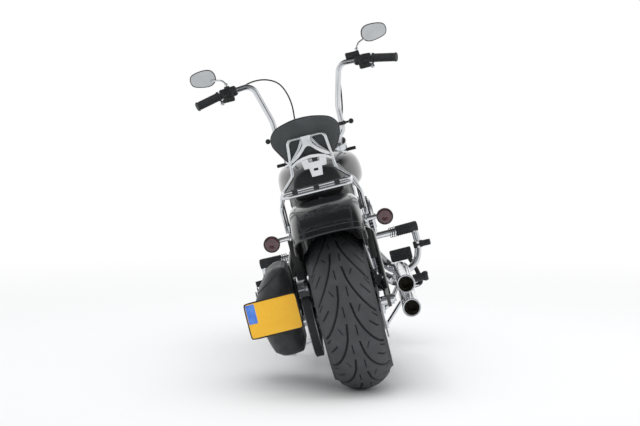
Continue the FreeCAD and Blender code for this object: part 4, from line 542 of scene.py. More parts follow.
# Each groove is a centre line in (millimetres across, degrees round), a width and a depth.
rear_grooves = [
    (bent((17, 0), (110, 38), 0.58, 12), 6, 6), (bent((17, -12.3), (16, -5.6)), 3.5, 5),
    (bent((53, 2), (41, 6.3)), 3, 4), (bent((74, 15.5), (102, 22)), 4, 5),
    (bent((92, 10), (109, 14.5)), 3.5, 4),
]
front_grooves = [
    (bent((8, 0), (60, 26), 0.6, 10), 5, 5), (bent((8, -9), (7, -3)), 3, 4),
    (bent((40, 9), (57, 14)), 3.5, 4),
]
# The sizes are the radius, half width, crown radius, crown half width, bead half width and bead radius.
REAR_SIZES, FRONT_SIZES = (REAR_RADIUS, 120, 135, 100, 105.7, 229.3), (FRONT_RADIUS, 65, 72, 57, 45.7, 267.3)
tyre("rear_tread", "rear_wheel", (0, 0, REAR_RADIUS), REAR_SIZES, 13, 48, rear_grooves, (17.4, 3.5))
tyre("front_tread", "front_wheel", (0, WHEELBASE, FRONT_RADIUS), FRONT_SIZES, 16, 40, front_grooves, (11, 0))

# %% [markdown]
# ## Rear fender, rack and mufflers
# A pressed fender would cut a hand and flutter in the wind if its edge weren't rolled, so a bead runs
# along the rear edge and a second, shallower one 33 mm above it. Both follow the fender's own
# cross-section, carried round to the angle of the edge. They are pipes, since a rolled edge is one.

# %% Fender beads
def fender_line(angle, grow=0.0):
    """The rear fender's outer cross-section at an angle above the level."""
    sections = [(-142, 352)] + arc((-142, 394), (-102, 432), 46, 4) + arc((-102, 432), (102, 432), 700, 8)[1:]
    sections += arc((102, 432), (142, 394), 46, 4)[1:] + [(142, 352)]
    turned = math.radians(angle)
    return [(x * (1 + grow / 142), 20 - (r + grow) * math.cos(turned), 350 + (r + grow) * math.sin(turned))
            for x, r in sections]


bm = bmesh.new()
pipe(bm, fender_line(46.4), 4)
pipe(bm, fender_line(50.6, -0.6), 2.4)
piece(bm, "fender_beads", "frame", lacquer)

# %% [markdown]
# The rack's rear end is a pair of thin rails held apart by three rubber blocks, which keep a suitcase off
# the chrome. The CAD loop is the lower rail.

# %% Rack rail and blocks
bm = bmesh.new()
pipe(bm, [(-134, -300, 846), (-132, -318, 856), (-110, -318, 857), (110, -318, 857), (132, -318, 856),
          (134, -300, 846)], 5.5)
piece(bm, "rack_rail", "frame", chrome)
bm = bmesh.new()
for x in (-85, 0, 82):
    block(bm, (22, 16, 26), (x, -317, 847), 3)
piece(bm, "rack_blocks", "frame", rubber)

# %% [markdown]
# Each muffler ends in a bright rolled rim. Inside it a cone narrows to the outlet, baked brown and black.

# %% Muffler ends
MUFFLER_X, MUFFLER_HEIGHTS = 247, (376, 278)
rims, cones = bmesh.new(), bmesh.new()
for height in MUFFLER_HEIGHTS:
    back = (MUFFLER_X, -60, height)
    ring(rims, 34.6, 3.2, back, Y)
    turn(rims, [(31.9, 0), (31.9, 3), (27, 9), (26, 9), (30.8, 0)], back, Y, 48, closed=True)
    turn(cones, [(31.8, 69), (31.8, 4), (26, 10), (17.5, 24), (16.5, 69)], back, Y, 48, closed=True)
    turn(cones, [(0, 60), (16.6, 60), (16.6, 69), (0, 69)], back, Y, 48)
piece(rims, "muffler_rims", "frame", chrome)
piece(cones, "muffler_outlets", "frame", soot)

# %% [markdown]
# ## Number plate
# The plate is an aluminium sheet with rounded corners, coated in yellow film with a small blue field at
# its upper left, in a black surround. It stays blank. The face is inset and then cut by four planes round
# the blue field, so that every colour has faces of its own.

# %% Plate
YELLOW, BLUE, EDGE = 0, 1, 2
FIELD_X, FIELD_Z = (-396, -360), (372, 450)
bm = bmesh.new()
block(bm, (213, 3, 146), (-295, -106.5, 384), 0)
corners = [edge for edge in bm.edges if abs(edge.verts[0].co.y - edge.verts[1].co.y) > 2]
bmesh.ops.bevel(bm, geom=corners, offset=9, segments=5, profile=0.5, affect="EDGES", material=-1)
face = min(bm.faces, key=lambda one: one.calc_center_median().y)
bmesh.ops.inset_region(bm, faces=[face], thickness=1.2, depth=-0.4)
bmesh.ops.inset_region(bm, faces=[face], thickness=2.6, depth=0.5)
for part in bm.faces:
    part.material_index = EDGE
face.material_index = YELLOW
for spot, way in ([((x, 0, 0), X) for x in reversed(FIELD_X)] + [((0, 0, z), Z) for z in FIELD_Z]):
    yellow = [part for part in bm.faces if part.material_index == YELLOW]
    around = {near for part in yellow for near in (*part.edges, *part.verts)}
    bmesh.ops.bisect_plane(bm, geom=yellow + list(around), plane_co=spot, plane_no=way)
for part in bm.faces:
    middle = part.calc_center_median()
    if (part.material_index == YELLOW and FIELD_X[0] < middle.x < FIELD_X[1]
            and FIELD_Z[0] < middle.z < FIELD_Z[1]):
        part.material_index = BLUE
piece(bm, "number_plate_face", "frame", (film_yellow, film_blue, powder), ("number_plate",),
      sharp=20)
bm = bmesh.new()
around = [(-295, 311.5), (-392, 311), (-400.5, 319), (-400.5, 384), (-400.5, 449), (-392, 457), (-295, 456.5),
          (-198, 457), (-189.5, 449), (-189.5, 384), (-189.5, 319), (-198, 311)]
pipe(bm, [(x, -107, z) for x, z in around], 2.6, closed=True)
piece(bm, "plate_surround", "frame", powder)

# %% [markdown]
# ## Rear indicators
# A bullet lamp is a turned body with a smoked lens in its open end. Rings moulded in the lens spread the
# light of the bulb; here they are steps in the lens's outline.

# %% Indicators
shells, lenses, stalks = bmesh.new(), bmesh.new(), bmesh.new()
body_line = [(30.5, 3), (33, 5), (33, 20)] + arc((33, 20), (4, 77), 96, 8, -1)[1:]
body_line += [(0, 77), (0, 10), (30, 10)]
LENS_STEPS = ((5, 0.1), (11, 0.6), (17, 1.4), (23, 2.6), (28, 4.2))
steps_line = [(radius, depth + dip) for radius, depth in LENS_STEPS for dip in (0, 1.1)]
stalk_line = [(0, 0), (15, 0), (15, 5), (10, 8), (10, 14), (9.4, 16), (9.4, 50), (0, 50)]
for side in SIDES:
    back = (side * 230, -138, 664)
    turn(shells, body_line, back, Y, 48)
    ring(shells, 31.3, 1.8, (side * 230, -134, 664), Y)
    turn(lenses, [(0, 0)] + steps_line + [(30.4, 6), (30.4, 12), (0, 12)], back, Y, 48)
    turn(stalks, stalk_line, (side * 150.9, -104, 670), (side, 0, 0), 28)
piece(shells, "indicator_shells", "frame", lacquer, ("rear_indicators",))
piece(lenses, "indicator_lenses", "frame", smoked)
piece(stalks, "indicator_stalks", "frame", chrome)

# %% [markdown]
# ## Guard, pegs and pedals
# The engine guard's upper corners wear moulded rubber sleeves, and below them sit two folding pegs. Rubber
# parts like these are ribbed so that a boot grips them; the ribs are rings pushed onto the CAD sleeves.

# %% Ribs on sleeves and pegs
PEG_Y, PEG_HEIGHT = 1395, 232
bm = bmesh.new()
for side in SIDES:
    corner = Vector((side * 362, 1340, 476))
    way = (corner - Vector((side * 150, 1274, 478))).normalized()
    for step in range(9):
        ring(bm, 23.4, 1.5, corner - way * (118 - step * 11), way, 36, 6)
    for step in range(9):
        ring(bm, 19.2, 1.6, (side * (262 + step * 9.5), PEG_Y, PEG_HEIGHT), X, 36, 6)
    outer = Vector((side * 362, 1334, 391))
    peg = Vector((side, -0.2, 0)).normalized()
    for step in range(3):
        ring(bm, 14.2, 1.3, outer + peg * (28 + step * 9), peg, 30, 6)
piece(bm, "peg_ribs", "frame", rubber)

# %% Caps and bolts of the pegs
bm = bmesh.new()
for side in SIDES:
    cap = (side * 371, PEG_Y, PEG_HEIGHT)
    turn(bm, [(0, -2), (20, -2), (21, 0), (19, 3.5), (0, 4)], cap, (side, 0, 0), 32)
    for height in (402, 380):
        bolt(bm, (side * 362, 1311, height), -Y, 6)
piece(bm, "peg_caps", "frame", chrome)

# %% [markdown]
# The brake pedal is a wide ribbed pad on a thick arm, both black. The CAD pad and arm stay inside them.

# %% Brake pedal
lean = Matrix.Rotation(math.radians(20), 4, "X")
bm = bmesh.new()
corner = Vector((225, 1453, 324))
block(bm, (103, 17, 61), corner + lean @ Vector((49, 6, 28)), 6, lean, 4)
for step in range(6):
    block(bm, (92, 3, 3.6), corner + lean @ Vector((49, -3, 6 + step * 9)), 1.2, lean, 2)
piece(bm, "brake_pedal_pad", "frame", rubber)
bm = bmesh.new()
pipe(bm, [(300, 1424, 196), (336, 1435, 196), (334, 1447, 224), (332, 1453, 252), (318, 1455, 300),
          (303, 1457, 345)], 10.5)
piece(bm, "brake_pedal_arm", "frame", powder)

# %% Shift lever rubber
SHIFT_Y, SHIFT_HEIGHT = 1457, 350
bm = bmesh.new()
turn(bm, [(0, 0), (12, 0), (13.2, 3), (13.2, 58), (14.5, 62), (13.5, 68), (0, 69)],
     (-248, SHIFT_Y, SHIFT_HEIGHT), -X, 28)
for step in range(5):
    ring(bm, 13.3, 1.2, (-256 - step * 10, SHIFT_Y, SHIFT_HEIGHT), X, 28, 6)
piece(bm, "shift_rubber", "frame", rubber)

# %% [markdown]
# ## Handlebar controls
# Each end of the bar carries a clamped housing with a switch pod and a lever, and the right one a small
# reservoir. The housings are cast and painted satin black; the levers are polished. They follow the bar's
# own direction, so its corners are written down once here.

# %% Controls
BAR_TOP, BAR_BEND, BAR_END = (205, 1190.4, 1300), (345, 1172.4, 1290), (460, 1128.7, 1265)


def bar_point(spot, side):
    """One of the bar's corners, on its left or its right."""
    return Vector((side * spot[0], spot[1], spot[2]))


clamp = [(13.2, 0), (20, 0), (23, 3), (24, 8), (24, 30), (22.5, 32), (22.5, 36), (24, 38), (24, 70), (21, 77),
         (13.2, 77)]
lever = [(288, 1206, 1290), (296, 1238, 1291), (318, 1246, 1289), (362, 1236, 1283), (415, 1212, 1274),
         (452, 1184, 1266)]
button = [(0, 0), (8, 0), (9, 2), (9, 18), (7, 20), (0, 20)]
sleeve = [(0, 0), (7, 0), (7, 10), (5, 12), (5, 26), (0, 26)]
housings, levers = bmesh.new(), bmesh.new()
for side in SIDES:
    bend = bar_point(BAR_BEND, side)
    way = (bend - bar_point(BAR_TOP, side)).normalized()
    turn(housings, clamp, bend - way * 66, way, 40, closed=True)
    block(housings, (56, 38, 46), (side * 322, 1170, 1272), 8, segments=4)
    block(housings, (26, 16, 16), (side * 330, 1146, 1284), 4)
    block(housings, (14, 8, 10), (side * 312, 1146, 1266), 2.5)
    for spot in (-8, 6):
        dome(housings, (side * 318 + spot, 1150, 1253), -Y, 3.4)
    block(housings, (30, 34, 36), (side * 290, 1206, 1292), 6)
    if side > 0:
        block(housings, (66, 44, 27), (276, 1202.4, 1321.5), 6, segments=4)
        block(housings, (63, 41, 3), (276, 1202.4, 1335), 1.2)
        for x in (-24, 24):
            dome(levers, (276 + x, 1202, 1336), Z, 3)
    else:
        block(housings, (26, 26, 13), (-318, 1175.4, 1315.5), 4)
    line = [bar_point(spot, side) for spot in lever]
    pipe(levers, line, 5.2)
    turn(levers, [(0, -8), (5, -7), (7, 0), (5, 7), (0, 8)], line[-1], (side, -0.5, -0.2), 20)
    turn(levers, button, (side * 352, 1166, 1262), (side * 0.2, -0.3, -1), 24)
    dome(levers, (side * 346, 1152, 1270), -Y, 5)
    bolt(levers, (side * 292, 1240, 1296), Z, 5)
    turn(levers, sleeve, (side * 288, 1243, 1293), (-side, 0.25, 0.2), 20)
piece(housings, "control_housings", "fork", powder, ("hand_controls",))
piece(levers, "hand_levers", "fork", chrome)

# %% Grip ribs
bm = bmesh.new()
for side in SIDES:
    end = bar_point(BAR_END, side)
    way = (end - bar_point(BAR_BEND, side)).normalized()
    for step in range(17):
        ring(bm, 19, 1.1, end - way * (95 - step * 5.4), way, 32, 6)
piece(bm, "grip_ribs", "fork", rubber)

# %% [markdown]
# A mirror is a pressed shell with a flat silvered glass set a little back in its rim. The outline is drawn
# once as a closed smooth line; the shell grows forward from it in scaled steps, and the rim and glass are
# insets.

# %% Mirrors
HEADS = {1: (397, 1402), -1: (-419, 1380)}
HEAD_LINE = [(-61, -4), (-55, -25), (-30, -42), (9, -38), (50, -27), (61, -8), (61, 13), (51, 31), (14, 40),
             (-32, 40), (-55, 24)]
STEM_FOOT = {1: (300, 1206, 1337), -1: (-318, 1175, 1323)}
stems, heads = bmesh.new(), bmesh.new()
for side, (across, height) in HEADS.items():
    old = set(heads.verts)
    outline = route([(side * x, 0, z) for x, z in HEAD_LINE], closed=True)
    outline.splines[0].resolution_u = 4
    drawn(heads, outline, 0.01)
    loop = [edge for edge in heads.edges if edge.verts[0] not in old]
    rear = bmesh.ops.contextual_create(heads, geom=loop)["faces"][0]
    rim = rear.edges[:]
    for forward, scale in ((6, 1.015), (9, 0.97), (7, 0.86), (3, 0.62)):
        pulled = bmesh.ops.extrude_edge_only(heads, edges=rim)["geom"]
        rim = [part for part in pulled if isinstance(part, bmesh.types.BMEdge)]
        moving = list({vert for edge in rim for vert in edge.verts})
        bmesh.ops.translate(heads, verts=moving, vec=(0, forward, 0))
        bmesh.ops.scale(heads, verts=moving, vec=(scale, 1, scale))
    bmesh.ops.contextual_create(heads, geom=rim)
    bmesh.ops.inset_region(heads, faces=[rear], thickness=2.5, depth=0)
    bmesh.ops.inset_region(heads, faces=[rear], thickness=1.2, depth=-1.6)
    rear.material_index = 1
    turned = Matrix.Rotation(0.1 * side, 4, "Z") @ Matrix.Rotation(0.09, 4, "X")
    aimed = Matrix.Translation((across, 1232, height)) @ turned
    bmesh.ops.transform(heads, matrix=aimed, verts=fresh(heads, old))
    foot = STEM_FOOT[side]
    pipe(stems, [foot, (foot[0] + side * 4, foot[1] + 6, foot[2] + 30),
                 (across - side * 34, 1238, height - 16), (across - side * 14, 1244, height - 6)], 4.6)
    turn(stems, [(0, 0), (9, 0), (9, 9), (6, 13), (0, 13)], foot, Z, 24)
piece(heads, "mirror_heads", "fork", (powder, mirror_glass), ("mirrors",))
piece(stems, "mirror_stems", "fork", chrome)

# %% [markdown]
# The small front indicators are bullets on a ring round each bar. Their CAD solids are plain, so a dark
# lens towards the rider's back and a thin rim are added.

# %% Front indicator lenses
lenses, rims = bmesh.new(), bmesh.new()
for side in SIDES:
    turn(lenses, [(0, -1.5), (5, -1.2), (9, 0), (9, 3), (0, 3)], (side * 197, 1190, 1030), Y, 28)
    ring(rims, 10.4, 1.3, (side * 197, 1192, 1030), Y, 28, 8)
piece(lenses, "front_indicator_lenses", "fork", engine_black)
piece(rims, "front_indicator_rims", "fork", steel)

# %% [markdown]
# ## Sissy bar plates
# The hoop's middle is braced by a wishbone cut from plate, wide at its top and running down into two legs,
# over a flat arch. The CAD has them as rods; these flat plates lie behind the rods and give the cut
# outlines.

# %% Cut plates
def cut_plate(bm, outline, y, thick=5):
    """A flat plate across the machine, from an outline in X and Z, with broken edges."""
    old = set(bm.verts)
    pulled_flat(bm, [(x, y, z) for x, z in outline], (0, thick, 0))
    flat = {edge for vert in fresh(bm, old) for edge in vert.link_edges
            if abs(edge.verts[0].co.y - edge.verts[1].co.y) < 1}
    bmesh.ops.bevel(bm, geom=list(flat), offset=1.2, segments=2, profile=0.5, affect="EDGES", material=-1)


bm = bmesh.new()
legs = [(-21, 1046), (-17, 1027), (-21, 1011), (-34, 995), (-52, 980), (-79, 961), (-74, 951), (-47, 966),
        (-28, 982), (-11, 999), (0, 1004)]
cut_plate(bm, legs + [(-x, z) for x, z in reversed(legs[:-1])], -24)
arch = [(-84, 934), (-60, 949), (-34, 957), (0, 961), (34, 957), (60, 949), (84, 934)]
cut_plate(bm, [(x, z + 7) for x, z in arch] + [(x, z - 7) for x, z in reversed(arch)], -16)
piece(bm, "sissy_plates", "frame", chrome, sharp=12)

# %% Screws of the side plates
bm = bmesh.new()
for side in SIDES:
    for y in (-38, 88):
        dome(bm, (side * 156.5, y, 692), (side, 0, 0), 9)
piece(bm, "sissy_screws", "frame", steel)

# %% [markdown]
# ## Soft goods
# The back pad, the seat and the saddlebag are stuffed leather. Each starts as a closed form slightly
# smaller than its space. A short cloth simulation with a little pressure lets the leather bulge between
# its edges; its result is applied, and the welts are laid on after it.

# %% The cloth recipe
CLOTH_STEPS, CLOTH_MASS, STIFFNESS, BENDING, PRESSURE = 20, 0.4, 30, 8, 4


def bake(made):
    """Put the result of the modifiers in the mesh."""
    shape = bpy.data.meshes.new_from_object(made.evaluated_get(bpy.context.evaluated_depsgraph_get()))
    made.modifiers.clear()
    made.data = shape


def places(made):
    """The mesh's points as rows of three."""
    spots = np.empty(len(made.data.vertices) * 3)
    made.data.vertices.foreach_get("co", spots)
    return spots.reshape(-1, 3)


def stuffed(name, source, voxel, reach, material, replaced):
    """A closed form puffed up by cloth simulation; no point moves further than reach, all in millimetres."""
    shape = bpy.data.meshes.new(name)
    source.to_mesh(shape)
    source.free()
    shape.transform(BIKE)
    made = bpy.data.objects.new(name, shape)
    bpy.context.scene.collection.objects.link(made)
    remesh = made.modifiers.new("even", "REMESH")
    remesh.mode, remesh.voxel_size = "VOXEL", voxel / 1000
    bake(made)
    start = places(made)
    settings = made.modifiers.new("leather", "CLOTH").settings
    settings.quality, settings.mass = 5, CLOTH_MASS
    settings.tension_stiffness = settings.compression_stiffness = settings.shear_stiffness = STIFFNESS
    settings.bending_stiffness = BENDING
    settings.use_pressure, settings.uniform_pressure_force = True, PRESSURE
    settings.effector_weights.gravity = 0
    for number in range(1, CLOTH_STEPS + 1):
        bpy.context.scene.frame_set(number)
    bake(made)
    bpy.context.scene.frame_set(1)
    step = places(made) - start
    far = np.linalg.norm(step, axis=1, keepdims=True)
    capped = start + step * np.minimum(1, reach / 1000 / np.maximum(far, 1e-9))
    made.data.vertices.foreach_set("co", capped.ravel())
    smooth = made.modifiers.new("smooth", "SUBSURF")
    smooth.levels = smooth.render_levels = 1
    bake(made)
    made.data.materials.clear()
    made.data.materials.append(material)
    made.data.shade_smooth()
    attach(made, "frame")
    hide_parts(replaced)
    solids[name] = made
    print(name, len(made.data.polygons), "faces, moved up to", round(float(far.max()) * 1000, 1), "mm")
    return made


def from_solid(name, gap):
    """A CAD solid's own closed mesh in motorcycle millimetres, merged and drawn in by gap."""
    bm = bmesh.new()
    bm.from_mesh(solids[name].data)
    bmesh.ops.transform(bm, matrix=BIKE.inverted() @ solids[name].matrix_world, verts=bm.verts)
    bmesh.ops.remove_doubles(bm, verts=bm.verts, dist=0.01)
    bmesh.ops.recalc_face_normals(bm, faces=bm.faces)
    bm.normal_update()
    for vert, way in [(vert, vert.normal.copy()) for vert in bm.verts]:
        vert.co -= way * gap
    return bm


stuffed("back_cushion", from_solid("back_pad", 2), 5, 7, pad_leather, "back_pad")
stuffed("seat_cushion", from_solid("seat", 2), 8, 9, seat_leather, "seat")
bag = stuffed("bag_body", from_solid("saddlebag", 3), 7, 8, bag_leather, "saddlebag")
bpy.context.view_layer.update()

# %% [markdown]
# A welt is a thin cord sewn in where two panels meet. Rays find the finished leather, so that every welt
# lies in its surface: round the pad's rear edge, along both sides of the seat, and across it between rider
# and passenger.

# %% Welts
SEAT_WELT = ((96, 842), (120, 846), (160, 850), (200, 850), (240, 838), (280, 806), (310, 770), (340, 738),
             (380, 708), (420, 696), (460, 690), (500, 692), (540, 697), (580, 702), (620, 710), (650, 724))
bm = bmesh.new()
middle = Vector((0, 14, 1036))
loop = []
for angle in spaced(56):
    way = Vector((math.cos(angle), 0, math.sin(angle)))
    loop.append(touch("back_cushion", middle + way * 260, -way))
pipe(bm, loop, 2.6, 3, closed=True)
for side in SIDES:
    pipe(bm, [touch("seat_cushion", (side * OUT, y, low), (-side, 0, 0)) for y, low in SEAT_WELT], 2.4, 4)
for y, reach in ((322, 112), (200, 104)):
    pipe(bm, [touch("seat_cushion", (across, y + 0.0012 * across ** 2, 1100), -Z)
              for across in range(-reach, reach + 1, 16)], 2.2, 4)
piece(bm, "leather_welts", "frame", seat_leather)

# %% [markdown]
# The bag's flap is cut from the finished body by a slanted plane, so it follows the leather, and is
# thickened outward. Two straps with buckles hold it. Dark inner panels close the fender towards the bag
# and the mufflers; they are black sheets that stand in for the shade between the tyre and the leather.

# %% Bag flap
bm = bmesh.new()
bm.from_mesh(bag.data)
bmesh.ops.transform(bm, matrix=BIKE.inverted(), verts=bm.verts)
cut_at, upward = Vector((-290, 240, 503)), Vector((-41, 0, 60)).normalized()
bmesh.ops.bisect_plane(bm, geom=bm.verts[:] + bm.edges[:] + bm.faces[:], plane_co=cut_at, plane_no=upward,
                       clear_inner=True)
bm.normal_update()
pulled = bmesh.ops.extrude_face_region(bm, geom=bm.faces[:])["geom"]
for vert in pulled:
    if isinstance(vert, bmesh.types.BMVert):
        vert.co += vert.normal * 3.2
solids["bag_flap"] = piece(bm, "bag_flap", "frame", bag_leather)
bpy.context.view_layer.update()


def strap(bm, spots, wide, thick):
    """A flat leather strap along spots, wide along Y and thick outward from the bag."""
    rows = []
    for before, spot, after in zip(spots[:1] + spots[:-1], spots, spots[1:] + spots[-1:]):
        out = (after - before).cross(Y).normalized() * thick
        half = Y * wide / 2
        rows.append([bm.verts.new(spot + part) for part in (-half, half, half + out, -half + out)])
    for near, far in zip(rows, rows[1:]):
        for first in range(4):
            second = (first + 1) % 4
            bm.faces.new((near[first], near[second], far[second], far[first]))
    bm.faces.new(reversed(rows[0]))
    bm.faces.new(rows[-1])

# %% Straps and buckles
STRAP_HEIGHTS = (540, 528, 514, 500, 486, 474, 456, 438, 420, 400, 380, 360, 340, 322)
FLAP_EDGE, BUCKLE = 480, ((-17, -13), (17, -13), (17, 13), (-17, 13))
straps, buckles = bmesh.new(), bmesh.new()
for y in (150, 335):
    line = [touch("bag_flap" if z > FLAP_EDGE else "bag_body", (-600, y, z), X) + Vector((-0.8, 0, 0))
            for z in STRAP_HEIGHTS]
    strap(straps, line, 24, 3)
    for spot in (line[6], line[9]):
        pipe(buckles, [spot + Vector((-5, *corner)) for corner in BUCKLE], 2.2, 6, closed=True)
    pipe(buckles, [line[6] + Vector(shift) for shift in ((-6, 0, -12), (-8, 0, 0), (-5, 0, 14))], 1.8)
    dome(buckles, line[1] + Vector((-3, 0, 0)), (-1, 0, 0.3), 5)
piece(straps, "bag_straps", "frame", bag_leather)
piece(buckles, "bag_buckles", "frame", chrome)

# %% Black sheets at the fender's sides, painted shade between the tyre and the leather
SHADE_SHEET_OUTLINE = [(-238, 648), (-180, 590), (-90, 530), (30, 500), (118, 500), (118, 690), (-180, 700)]
bm = bmesh.new()
for side in SIDES:
    pulled_flat(bm, [(side * 136, y, z) for y, z in SHADE_SHEET_OUTLINE], (side * 3, 0, 0))
# Two black boards further in, across the view, are painted shade as well.
block(bm, (50, 5, 160), (-152, 112, 572), 2)
block(bm, (24, 5, 120), (150, 112, 552), 2)
piece(bm, "shade_sheets_by_tyre", "frame", powder)

# %% [markdown]
# ## Engine trim
# The engine is the bright heart of the machine from both sides: black barrels whose fin edges are machined
# bright, chromed rocker boxes and covers held by rows of screws, and pushrod tubes with collars. Each
# cylinder leans 22.5 degrees from the crankshaft, so its trim is built upright about the crank and then
# leaned.

# %% Cylinders
CRANK = Vector((0, 905, 320))
COLLARS = ((0.03, 12, 14), (0.4, 11, 5), (0.44, 10, 40), (0.62, 11, 5), (0.9, 12, 16))
edges, trims, leads = bmesh.new(), bmesh.new(), bmesh.new()
for side in SIDES:
    leaned = Matrix.Translation(CRANK) @ Matrix.Rotation(math.radians(-22.5 * side), 4, "X")
    before = [set(bm.verts) for bm in (edges, trims, leads)]
    for fin in range(16):
        low = 170.3 + fin * 13
        turn(edges, [(64.5, low + 1.1), (66.35, low + 1.1), (66.35, low + 3.4), (64.5, low + 3.4)], steps=64,
             closed=True)
    for x, y in ((-48, -38), (-48, 38), (12, -42), (12, 42), (76, -28), (76, 28)):
        dome(trims, (x, y, 418.3), Z, 5.5)
    for x, y in ((-30, 0), (30, 0)):
        block(trims, (34, 58, 6), (x, y, 420), 2.5)
    for valve in SIDES:
        foot, head = Vector((80, 12 * side + 11 * valve, 149)), Vector((79, 20 * valve, 385.3))
        way = (head - foot).normalized()
        for share, radius, tall in COLLARS:
            collar = [(8, 0), (radius, 0), (radius + 0.8, 1.5), (radius + 0.8, tall - 1.5), (radius, tall),
                      (8, tall)]
            turn(trims, collar, foot + (head - foot) * share, way, 24, closed=True)
    plug, plug_way = Vector((-64, 10, 330)), (-1, 0, 0.35)
    bolt(trims, plug, plug_way, 10, 8)
    turn(leads, [(4, 0), (6, 2), (6.5, 12), (4.5, 26), (0, 27)], plug + Vector((-7, 0, 2)), plug_way, 20)
    for bm, old in zip((edges, trims, leads), before):
        bmesh.ops.transform(bm, matrix=leaned, verts=fresh(bm, old))
    boot = leaned @ (plug + Vector((-31, 0, 11)))
    coil = [(-74, CRANK.y + side * 40, 640), (-50, CRANK.y + side * 14, 655)]
    pipe(leads, [boot, boot + Vector((-12, 0, 22)), *coil], 3.5)
block(leads, (52, 66, 60), (-40, CRANK.y, 668), 8)
piece(edges, "fin_edges", "frame", alloy)
piece(trims, "cylinder_trim", "frame", chrome)
piece(leads, "plug_leads", "frame", rubber)

# %% Cover screws, cover rings and air cleaner
CRANK_SIDE, CLUTCH, CLEANER = (905, 320), (640, 330), (905, 602)  # centres seen from the side, in Y and Z


def from_side(x, centre, radius=0.0, angle=0.0):
    """A place beside the machine at x, radius from a centre in Y and Z."""
    return Vector((x, centre[0] + radius * math.cos(angle), centre[1] + radius * math.sin(angle)))


def seated_ring(bm, radius, thick, solid, start, way, steps):
    """A ring round the line from start along way, lying on the solid that it meets at its radius."""
    away = Vector((0, radius, 0))
    ring(bm, radius, thick, touch(solid, Vector(start) + away, way) - away, X, steps)


screws, dark = bmesh.new(), bmesh.new()
for centre, radius, start, end, count in ((CRANK_SIDE, 80, -80, 80, 5), (CLUTCH, 94, 100, 260, 6)):
    for step in range(count):
        angle = math.radians(start + (end - start) * step / (count - 1))
        dome(screws, touch("engine_covers", from_side(-OUT, centre, radius, angle), X), -X, 5)
for angle in spaced(5, 0.3):
    dome(screws, touch("engine_covers", from_side(-OUT, CLUTCH, 52, angle), X), -X, 4.5)
    dome(screws, touch("engine_covers", from_side(200, CRANK_SIDE, 74, angle), -X), X, 5)
seated_ring(screws, 59, 2.2, "engine_covers", from_side(-OUT, CLUTCH), X, 64)
seated_ring(screws, 36, 2, "engine_covers", from_side(-OUT, CRANK_SIDE), X, 48)
dome(screws, touch("air_cleaner", from_side(OUT, CLEANER), -X), X, 11, 7)
for radius in (52, 76):
    seated_ring(screws, radius, 1.8, "air_cleaner", from_side(OUT, CLEANER), -X, 72)
turn(dark, [(91, -9), (93.2, -9), (93.2, 9), (91, 9)], from_side(172, CLEANER), X, 72, closed=True)
for angle in spaced(36):
    block(screws, (16, 3, 4), from_side(172, CLEANER, 93.6, angle), 0.8, Matrix.Rotation(angle, 4, "X"), 2)
piece(screws, "cover_screws", "frame", chrome)
piece(dark, "air_filter_band", "frame", rubber)

# %% Exhaust clamps
CLAMPS = ((820, 278), (640, 278), (594, 376))
bm = bmesh.new()
for y, z in CLAMPS:
    spot = Vector((MUFFLER_X, y, z))
    turn(bm, [(22.1, -7), (23.6, -7), (23.6, 7), (22.1, 7)], spot, Y, 40, closed=True)
    block(bm, (8, 12, 7), spot + Vector((0, 0, -26)), 1.5)
    bolt(bm, spot + Vector((4, 0, -26)), X, 3.6)
for z in reversed(MUFFLER_HEIGHTS):
    turn(bm, [(22.2, 0), (27, -1), (28, 3), (28, 12), (22.2, 14)], (MUFFLER_X, 562, z), Y, 48, closed=True)
piece(bm, "exhaust_clamps", "frame", chrome)

# %% [markdown]
# ## Wheel fittings
# Five bolts hold each disc and the belt pulley to the hubs, every rim has a valve, and the axles end in
# nuts. What turns rides on its wheel, and the nuts stay with the swingarm and the fork.

# %% Bolts, valves and nuts
BOLT_CIRCLES = {"rear": (("rear_disc", 1, 34), ("rear_pulley", -1, 36)), "front": (("front_disc", -1, 34),)}
HUBS = {"rear": Vector((0, 0, REAR_RADIUS)), "front": FORK.translation.copy()}
VALVE = [(0, -3), (6, -3), (6, 1), (4, 4), (4, 16), (3, 18), (3, 26), (3.6, 26), (3.6, 34), (0, 35)]
for name, hub in HUBS.items():
    bolts, valve = bmesh.new(), bmesh.new()
    for solid, side, radius in BOLT_CIRCLES[name]:
        for angle in spaced(5, 0.2):
            spot = hub + Vector((side * 260, radius * math.cos(angle), radius * math.sin(angle)))
            bolt(bolts, touch(solid, spot, (-side, 0, 0)), (side, 0, 0), 6.5)
    for side in SIDES:
        for radius in (20, 28):
            seated_ring(bolts, radius, 1.6, f"{name}_rim", hub + X * side * 260, (-side, 0, 0), 40)
    inner = touch(f"{name}_rim", hub + Vector((0, 70, 0)), (0, 1, 0.35))
    turn(valve, VALVE, inner, (hub - inner).normalized(), 20)
    piece(bolts, f"{name}_hub_bolts", f"{name}_wheel", chrome)
    piece(valve, f"{name}_valve", f"{name}_wheel", rubber)
for name, solid, body in (("rear", "rear_axle", "frame"), ("front", "fork_legs", "fork")):
    bm = bmesh.new()
    for side in SIDES:
        spot = touch(solid, HUBS[name] + X * side * 400, (-side, 0, 0))
        bolt(bm, spot - X * side, (side, 0, 0), 15, 10)
    piece(bm, f"{name}_axle_nuts", body, chrome)

# %% [markdown]
# ## Front end
# The headlamp replaces its plain solid with a hollow bowl, a bright reflector with its bulb, a domed clear
# lens and a chrome rim. The fork gets dust seals, top caps, clamp screws and the stem nut.

